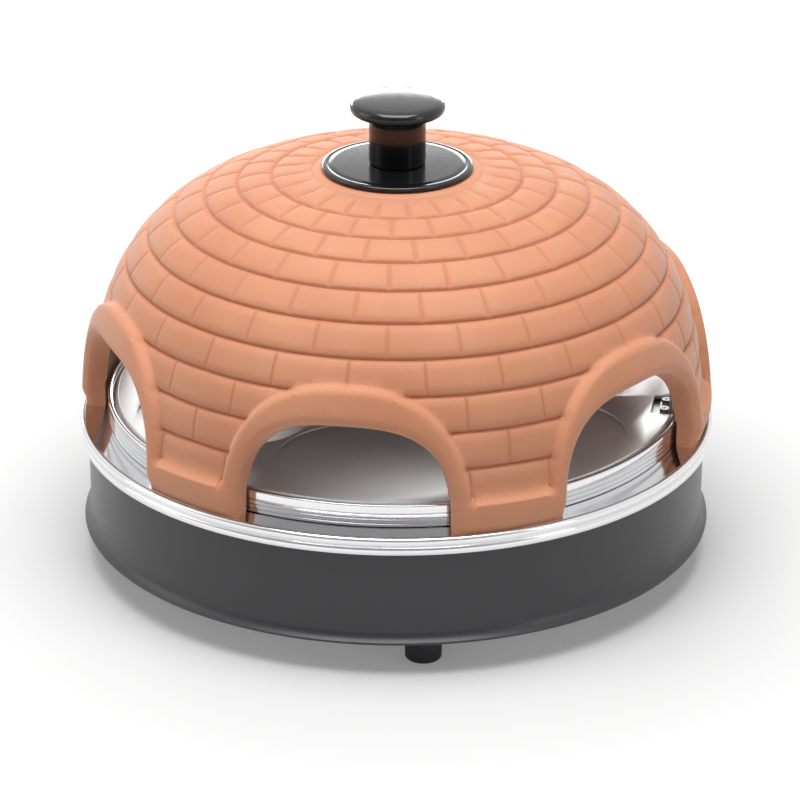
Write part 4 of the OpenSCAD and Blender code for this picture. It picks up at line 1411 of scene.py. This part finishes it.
def dress_frame(paint: Paintbox) -> None:
    """Gives every node of the frame the finish that the record names for it."""
    for name, finish in finish_by_node().items():
        node = frame["nodes"][name]
        paint.dress(node, finish)
        node.data.polygons.foreach_set("use_smooth", [True] * len(node.data.polygons))


# ---- Studio ---------------------------------------------------------------------------------


@dataclass
class Studio:
    """The pale floor, the soft lamps and the camera at the photograph's viewing angle."""

    target_height: float = 0.186
    distance: float = 2.300
    elevation: float = 21.13
    azimuth: float = 9.4
    roll: float = 0.23
    focal_px: float = 3686.7
    image_px: float = 800.0
    target_px: Point = (396.9, 264.3)
    floor_size: float = 6.0
    floor_colour: tuple[float, ...] = (0.68, 0.68, 0.68, 1.0)
    # distance and glow near and far: the floor glows less near the object, a painted shadow round
    # the base
    floor_glow_and_painted_shadow: tuple[Point, Point] = ((0.22, 0.16), (0.46, 0.42))
    lamp_aim: float = 0.12
    lamps: tuple[tuple[str, tuple[float, float, float], Point, float], ...] = (
        ("top_softbox", (0.0, -0.25, 1.7), (1.3, 1.2), 29.0),
        ("left_softbox", (-1.7, -0.3, 0.8), (0.9, 1.4), 4.0),
        ("right_softbox", (1.8, -0.9, 0.8), (0.5, 1.4), 3.0),
        ("rear_softbox", (-0.5, 1.8, 0.50), (1.8, 0.5), 16.0),
    )
    ambient: float = 0.2
    front: float = 0.4

    def camera(self) -> None:
        """Sets the camera where the photograph was taken from."""
        data = bpy.data.cameras.new("camera")
        made = linked("camera", data)
        bpy.context.scene.camera = made
        data.sensor_width = 36.0
        data.lens = self.focal_px / self.image_px * data.sensor_width
        data.clip_start, data.clip_end = 0.05, 50.0
        azimuth, elevation = math.radians(self.azimuth), math.radians(self.elevation)
        level = math.cos(elevation)
        back = Vector(
            (math.sin(azimuth) * level, -math.cos(azimuth) * level, math.sin(elevation))
        )
        target = Vector((0, 0, self.target_height))
        right = Vector((0, 0, 1)).cross(back).normalized()
        up = back.cross(right)
        roll = math.radians(self.roll)
        right, up = (
            right * math.cos(roll) + up * math.sin(roll),
            up * math.cos(roll) - right * math.sin(roll),
        )
        centre = self.image_px / 2
        aim = -back
        aim += right * ((centre - self.target_px[0]) / self.focal_px)
        aim -= up * ((centre - self.target_px[1]) / self.focal_px)
        aim.normalize()
        right = aim.cross(up).normalized()
        up = right.cross(aim)
        turn = Matrix((right, up, -aim)).transposed().to_4x4()
        made.matrix_world = Matrix.Translation(target + back * self.distance) @ turn

    @staticmethod
    def lamp(name: str, place: Vector, aim: Vector, size: Point, power: float) -> None:
        """Hangs a soft rectangular lamp.

        Args:
            name: Its name.
            place: Where it hangs.
            aim: What it points at.
            size: Width and height in metres.
            power: Watts.
        """
        data = bpy.data.lights.new(name, "AREA")
        data.shape = "RECTANGLE"
        data.size, data.size_y = size
        data.energy = power
        made = linked(name, data)
        made.location = place
        made.rotation_euler = (place - aim).to_track_quat("Z", "Y").to_euler()

    @staticmethod
    def seen_directly(tree: bpy.types.NodeTree) -> bpy.types.NodeSocket:
        """1 for rays from the camera, from gloss or through glass, and 0 for light."""
        path = add_node(tree, "LightPath", {})
        total = path.outputs["Is Camera Ray"]
        for name in ("Is Glossy Ray", "Is Transmission Ray"):
            inputs = {0: total, 1: path.outputs[name]}
            total = add_node(tree, "Math", inputs, operation="MAXIMUM").outputs[0]
        return total

    @staticmethod
    def faded(
        tree: bpy.types.NodeTree, value: bpy.types.NodeSocket, start: Point, end: Point
    ) -> bpy.types.NodeSocket:
        """Leads a value smoothly from one result to another.

        Args:
            tree: The node tree.
            value: The source.
            start: A value and the result up to it.
            end: A value and the result beyond it.

        Returns:
            The result.
        """
        inputs = {"Value": value, "From Min": start[0], "From Max": end[0]}
        inputs |= {"To Min": start[1], "To Max": end[1]}
        node = add_node(tree, "MapRange", inputs, interpolation_type="SMOOTHSTEP")
        return node.outputs["Result"]

    def world(self, ambient: float, front: float) -> None:
        """A white surround that lights the object only softly and is dimmer in front.

        Args:
            ambient: Strength for the light that it gives.
            front: Strength that gloss sees towards the front, where a studio is dark.
        """
        world = bpy.data.worlds.new("surround")
        bpy.context.scene.world = world
        world.use_nodes = True
        tree = world.node_tree
        shade = tree.nodes["Background"]
        shade.inputs["Color"].default_value = (1, 1, 1, 1)
        place = add_node(tree, "TexCoord", {}).outputs["Generated"]
        split = add_node(tree, "SeparateXYZ", {0: place})
        facing = self.faded(tree, split.outputs["Y"], (-0.85, front), (-0.15, 1.0))
        seen = add_node(tree, "Mix", {0: self.seen_directly(tree), 2: ambient, 3: facing})
        direct = add_node(tree, "LightPath", {}).outputs["Is Camera Ray"]
        camera = add_node(tree, "Mix", {0: direct, 2: seen.outputs[0], 3: 1.0})
        tree.links.new(camera.outputs[0], shade.inputs["Strength"])

    def floor(self) -> None:
        """A wide white floor that keeps the object's shadow; its glow is dimmer near the object, a
        painted shadow round the base.
        """
        bm = bmesh.new()
        bmesh.ops.create_grid(bm, x_segments=1, y_segments=1, size=self.floor_size)
        mesh = bpy.data.meshes.new("floor")
        bm.to_mesh(mesh)
        bm.free()
        made = linked("floor", mesh)
        sheet = Sheet("floor")
        sheet.set(roughness=0.9, specular_IOR_level=0.0, base_color=self.floor_colour)
        sheet.set(emission_color=(1, 1, 1, 1))
        # the glow fades towards the object: painted shadow round the base
        reach = add_node(sheet.tree, "VectorMath", {0: sheet.place}, operation="LENGTH")
        away = self.faded(sheet.tree, reach.outputs["Value"], *self.floor_glow_and_painted_shadow)
        inputs = {0: self.seen_directly(sheet.tree), 1: away}
        glow = add_node(sheet.tree, "Math", inputs, operation="MULTIPLY")
        sheet.to("Emission Strength", glow.outputs[0])
        mesh.materials.append(sheet.material)

    def build(self) -> None:
        """Sets the floor, the lamps, the surround and the camera."""
        aim = Vector((0, 0, self.lamp_aim))
        for name, place, size, power in self.lamps:
            self.lamp(name, Vector(place), aim, size, power)
        self.world(self.ambient, self.front)
        self.floor()
        self.camera()


def main() -> None:
    """Builds the pieces in order, dresses the frame and sets the studio."""
    logging.basicConfig(level=logging.INFO, format="%(name)s: %(message)s")
    scene = bpy.context.scene
    scene.view_settings.view_transform = "Standard"
    levels = Levels.from_frame()
    paint = Paintbox()
    dress_frame(paint)
    TerracottaDome(levels, paint).build()
    SteelBase(levels, paint).build()
    KeptShapes(levels, paint).build()
    PhenolicKnob(levels, paint).build()
    Studio().build()


if __name__ == "__main__":
    main()
